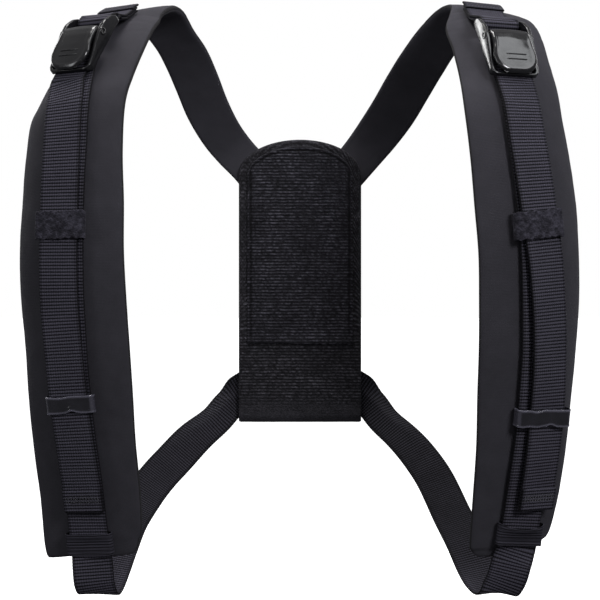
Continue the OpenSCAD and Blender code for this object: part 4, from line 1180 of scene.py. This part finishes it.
def build_sliding_keeper(side):
    name = SIDES[side][0]
    u = 4.95 if side < 0 else 4.7
    h = tilt_rise(u, side)
    x0 = look(u, LIE[side]["tail"]) / 2 * side
    M = local_at(side, u)
    M.o = M.o + M.x * (0 if side < 0 else x0) + M.z * (MID_OFF + h / 2)
    w = WEB_W + 2.6 + (1.2 if side < 0 else 2 * abs(x0))
    hh = 2 * WEB_T + PLY_GAP + 0.7 + h
    length = 11.4

    def disp(x, y, z, q, o, nx, nz):
        top = smooth(z, 0.3, 1.6)
        c = 1.5 if side < 0 else 4.5
        # pinch: the lower edge is drawn up and the face dips either side of a soft ridge
        pin = np.exp(-(((x - c) / 3.2) ** 2))
        low = smooth(-y, -1.0, 5.0)
        y2 = y + top * pin * low * 1.5 - top * smooth(y, 1.0, 5.0) * 0.7 * np.exp(-(((x + 6) / 5.0) ** 2))
        y2 = y2 + top * 0.35 * vnoise(x / 5.0 + 4 * side, 2.0 + 0 * x)
        ridge = top * (0.60 * pin * smooth(-y, -4, 4) - 0.05 * np.exp(-(((x - c + 6.5) / 3.6) ** 2)) + 0.10 * vnoise(x / 3.4, y / 3.0 + 3))
        return x, y2, z + ridge

    build_loop(f"sliding_keeper_ring_{name}", M, w, hh, 1.0, length, TPU, f"sliding_keeper_{name}", (f"sliding_keeper_{name}",), n=210, n_y=20, r=2.0, disp=disp, bead=0.24, thin=0.32)


def build_lower_keeper(side):
    name = SIDES[side][0]
    u = 2.05 if side < 0 else 2.25
    M = local_at(side, u)
    M.o = M.o + M.z * (MAIN_OFF + 0.55)
    w, hh = WEB_W + 3.0, WEB_T + 1.7

    def disp(x, y, z, q, o, nx, nz):
        top = smooth(z, 0.2, 1.4)
        xx = np.clip(x / (w / 2), -1, 1)
        rib = 0.13 * np.abs(np.sin(math.pi * y / PITCH)) * (o > 0.5)
        if side > 0:
            flare = top * smooth(y, -5, 7.5) * 3.6 * (1 - xx**2) ** 0.8
            sag = -top * smooth(y, 0, 7) * 2.6 * (1 - xx**2)
            roll = top * smooth(-y, 4.8, 7.0) * 0.55
        else:
            flare = top * smooth(y, 0, 7.5) * 0.9 * (1 - xx**2)
            sag = -top * smooth(-y, -2, 7) * 0.9 * (1 - xx**2) - top * smooth(y, 2, 7) * 0.3 * (1 - xx**2)
            roll = top * smooth(-y, 4.5, 7.0) * 0.35
        return x + nx * rib, y + sag, z + nz * rib + flare + roll + top * 0.22 * vnoise(x / 5.0, y / 6.0)

    build_loop(f"webbing_keeper_{name}", M, w, hh, 0.9, 14.4, WEBBING_DARK, "harness", (f"lower_keeper_{name}",), n=170, n_y=44, r=1.9, disp=disp)


# ------------------------------------------------------------------ back pad
PAD_W, PAD_BOT, PAD_TOP, PAD_ROUND = 87.0, -278.0, -77.0, 27.0
Y_FACE, Y_BACK, FLAP_IN, FLAP_OUT = 84.6, 88.5, 95.2, 97.8
FOLD_R = (FLAP_OUT - Y_FACE) / 2
FOLD_Y, FOLD_Z = (FLAP_OUT + Y_FACE) / 2, PAD_BOT + FOLD_R


def dome_top(x, w, top, rnd):
    return top - rnd + rnd * np.clip(1 - (2 * x / w) ** 2, 0, 1) ** 0.45


def pile_relief(x, z, amp, pitch=2.2, seed=0.0):
    """Rows of brushed loops across a pile fabric."""
    zz = z + 0.28 * fbm(x / 7.0 + seed, z / 9.0) + 0.10 * vnoise(x / 1.9, z / 2.4 + seed)
    row = zz / pitch
    ridge = (0.5 + 0.5 * np.cos(2 * math.pi * row)) ** 1.2
    cell = vnoise(x / 1.35 + 13.7 * np.floor(row + 0.5) + seed, np.floor(row + 0.5) * 3.1)
    patch = 0.5 + 0.5 * fbm(x / 12.0 + 3 + seed, z / 10.0, 3)
    return amp * (ridge * (0.62 + 0.42 * cell) * (0.55 + 0.6 * patch) + 0.16 * vnoise(x / 0.8, z / 0.7))


def slab_relief(xs, path_fn):
    rows = []
    for x in xs:
        r = path_fn(x)[5]
        rows.append(np.concatenate([r, np.full(len(r), 0.5)]))
    return np.array(rows).ravel()


def slab_rings(xs, w, path_fn, edge_r):
    """xs columns, path_fn(x) gives (mid points (n,2) in y,z; outward normals (n,2); half thickness (n), distance to the free ends (n))."""
    rings = []
    for x in xs:
        mid, nor, half, dist, relief, _ = path_fn(x)
        fx = math.sqrt(max(0.0, 1 - (max(0.0, abs(x) - (w / 2 - edge_r)) / edge_r) ** 2))
        fe = np.sqrt(np.clip(1 - (1 - np.clip(dist / edge_r, 0, 1)) ** 2, 0, 1))
        f = np.maximum(fx * fe, 0.10)
        outer = mid + nor * (half * f + relief * f)[:, None]
        inner = mid - nor * (half * f)[:, None]
        ring = np.concatenate([outer, inner[::-1]])
        rings.append(np.concatenate([np.full((len(ring), 1), x), ring], 1))
    return np.array(rings)


def cols(w, n, edge_r):
    a = np.linspace(-1, 1, n)
    x = a * (w / 2 - edge_r)
    e = np.array([0.25, 0.5, 0.72, 0.88, 0.97, 1.0]) * edge_r
    return np.concatenate([-(w / 2 - edge_r + e[::-1]), x, w / 2 - edge_r + e])


def build_wrap():
    w = PAD_W
    z_low = np.arange(FOLD_Z, -219.0, 0.55)
    n_up, n_roll, n_flap = 96, 26, 84

    def path_fn(x):
        top = float(dome_top(x, w, PAD_TOP, PAD_ROUND))
        zf = np.r_[z_low, np.linspace(z_low[-1], top, n_up + 1)[1:]][::-1]
        front_mid = (Y_FACE + Y_BACK) / 2
        a = np.linspace(180, 360, n_roll + 2)[1:-1]
        topb = top - 0.5
        zb = np.linspace(FOLD_Z, topb, n_flap)
        near = smooth(zf, FOLD_Z, FOLD_Z + 7)
        half_f = 0.8 + (1.95 - 0.8) * near
        mid_f = Y_FACE + half_f
        near_b = smooth(zb, FOLD_Z, FOLD_Z + 7)
        half_b = 0.8 + (1.3 - 0.8) * near_b
        mid_b = FLAP_OUT - half_b
        ar = np.radians(a)
        rm = FOLD_R - 0.8
        mid = np.concatenate([
            np.stack([mid_f, zf], -1),
            np.stack([FOLD_Y + rm * np.cos(ar), FOLD_Z + rm * np.sin(ar)], -1),
            np.stack([mid_b, zb], -1),
        ])
        nor = np.concatenate([
            np.tile([-1.0, 0.0], (len(zf), 1)),
            np.stack([np.cos(ar), np.sin(ar)], -1),
            np.tile([1.0, 0.0], (len(zb), 1)),
        ])
        half = np.r_[half_f, np.full(len(ar), 0.8), half_b]
        dist = np.r_[top - zf, np.full(len(ar), 99.0), topb - zb]
        # brushed rows fade out on the smooth bottom fold
        fade = smooth(zf, -270, -256)
        quilt = 0.35 * fbm(x / 30.0, zf / 34.0 + 9)
        rel_f = pile_relief(x, zf, 0.42, seed=4.0) * (0.15 + 0.85 * fade) + quilt - 0.45 * np.exp(-(((np.abs(x) - (w / 2 - 3.0)) / 1.1) ** 2)) * smooth(zf, -276, -262) * 0.6
        rel_r = 0.12 * fbm(x / 9.0 + 5, ar * 2.0)
        rel_b = 0.30 * fbm(x / 26.0 + 50, zb / 30.0) + 0.10 * vnoise(x / 1.4, zb / 2.2)
        # dep feeds the pile colour: painted shade in the valleys between the brushed rows, painted highlight on their
        # crests, and set levels on the roll and the flap
        dep = np.r_[pile_relief(x, zf, 1.0, seed=4.0) * (0.15 + 0.85 * fade) + 0.30 * (1 - fade), np.full(len(rel_r), 0.42), np.full(len(rel_b), 0.5) + 0.25 * vnoise(x / 1.4, zb / 2.2)]
        return mid, nor, half, dist, np.r_[rel_f, rel_r, rel_b], dep

    xs = cols(w, 88, 1.9)
    rings = slab_rings(xs, w, path_fn, 1.9)
    n = rings.shape[1]
    us = np.repeat((xs * 0.1)[:, None], n + 1, 1)
    vs = np.repeat((np.arange(n + 1) * 0.1)[None], len(xs), 0)
    V, F, U = sweep(rings, us, vs)
    o = finish_mesh("back_pad_wrap", V, F, U, WRAP, None, ("back_pad_face", "back_pad_foam", "back_pad_fold", "back_flap"), relief=slab_relief(xs, path_fn))
    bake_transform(o)
    return o


def build_inset():
    w, top, bot, rnd = PAD_W - 12, PAD_TOP - 5, -222.0, PAD_ROUND - 4

    def path_fn(x):
        t = float(dome_top(x, w, top, rnd))
        droop = 0.5 * vnoise(x / 14.0, 0.0)
        z = np.linspace(t, bot + droop, 268)
        lift = 0.55 * (1 - smooth(z, bot, bot + 9)) * (0.6 + 0.4 * math.cos(x / 19.0))
        mid = np.stack([Y_FACE - 0.95 - lift + 0 * z, z], -1)
        nor = np.tile([-1.0, 0.0], (len(z), 1))
        dist = np.minimum(t - z, z - (bot + droop))
        edge = np.minimum(dist, w / 2 - abs(x))
        seam = -0.42 * np.exp(-(((edge - 2.6) / 0.8) ** 2)) * smooth(z, bot + 3, bot + 8)
        rel = pile_relief(x, z, 0.55, seed=0.0) + 0.30 * fbm(x / 24.0 + 8, z / 26.0) + seam
        # the colour relief carries painted shade in the pile valleys and along the seam groove
        return mid, nor, np.full(len(z), 0.72), dist, rel, pile_relief(x, z, 1.0, seed=0.0) + seam

    xs = cols(w, 92, 1.3)
    rings = slab_rings(xs, w, path_fn, 1.3)
    n = rings.shape[1]
    us = np.repeat((xs * 0.1)[:, None], n + 1, 1)
    vs = np.repeat((np.arange(n + 1) * 0.05)[None], len(xs), 0)
    V, F, U = sweep(rings, us, vs)
    return finish_mesh("back_pad_inset_pile", V, F, U, PILE, "harness", ("back_pad_inset",), relief=slab_relief(xs, path_fn))


def build_hook_patch(node, z0, z1):
    """Hook tape on the inside of the flap: a thin base with rows of small hooks."""
    V, F = [], []
    y0, y1 = FLAP_IN - 0.05, FLAP_IN - 0.62
    x0, x1 = -26.0, 26.0
    nx, nz = 27, 12

    def quad_box(c0, c1):
        b = len(V)
        for x in (c0[0], c1[0]):
            for y in (c0[1], c1[1]):
                for z in (c0[2], c1[2]):
                    V.append((x, y, z))
        for q in ((0, 1, 3, 2), (4, 6, 7, 5), (0, 4, 5, 1), (2, 3, 7, 6), (0, 2, 6, 4), (1, 5, 7, 3)):
            F.append(tuple(b + i for i in q))

    quad_box((x0, y1, z0), (x1, y0, z1))
    for i in range(nx):
        for j in range(nz):
            x = x0 + 1.0 + (x1 - x0 - 2.0) * i / (nx - 1) + 0.25 * vnoise(i * 1.7, j * 2.3)
            z = z0 + 1.0 + (z1 - z0 - 2.0) * j / (nz - 1)
            b = len(V)
            s = 0.30
            for yy, k, dz in ((y1 + 0.02, 1.0, 0), (y1 - 0.30, 0.8, 0.1), (y1 - 0.44, 0.55, 0.35)):
                V.extend([(x - s * k, yy, z - s * k + dz), (x + s * k, yy, z - s * k + dz), (x + s * k, yy, z + s * k + dz), (x - s * k, yy, z + s * k + dz)])
            for r in (0, 4):
                for a in range(4):
                    a2 = (a + 1) % 4
                    F.append((b + r + a, b + r + a2, b + r + 4 + a2, b + r + 4 + a))
            F.append((b, b + 3, b + 2, b + 1)), F.append((b + 8, b + 9, b + 10, b + 11))
    return finish_mesh(f"hook_tape_{node[-5:]}", np.array(V), F, None, HOOK, "back_flap", (node,), flat=True)


# ------------------------------------------------------------------ build
for sd in (-1, 1):
    build_band(sd)
    build_webbing(sd)
    build_tab(sd)
    build_buckle_frame(sd)
    build_buckle_lever(sd)
    build_upper_keeper(sd)
    build_sliding_keeper(sd)
    build_lower_keeper(sd)
build_wrap()
build_inset()
build_hook_patch("hook_patch_upper", -160, -138)
build_hook_patch("hook_patch_lower", -228, -206)

# CAD nodes that keep their own shape
for node, mat in (
    ("buckle_pin_left", STEEL), ("buckle_pin_right", STEEL),
    ("band_end_stitches", THREAD), ("webbing_end_stitches", THREAD),
):
    ob = NODES[node]
    if not ob.material_slots:
        ob.data.materials.append(mat)
    for sl in ob.material_slots:
        sl.material = mat
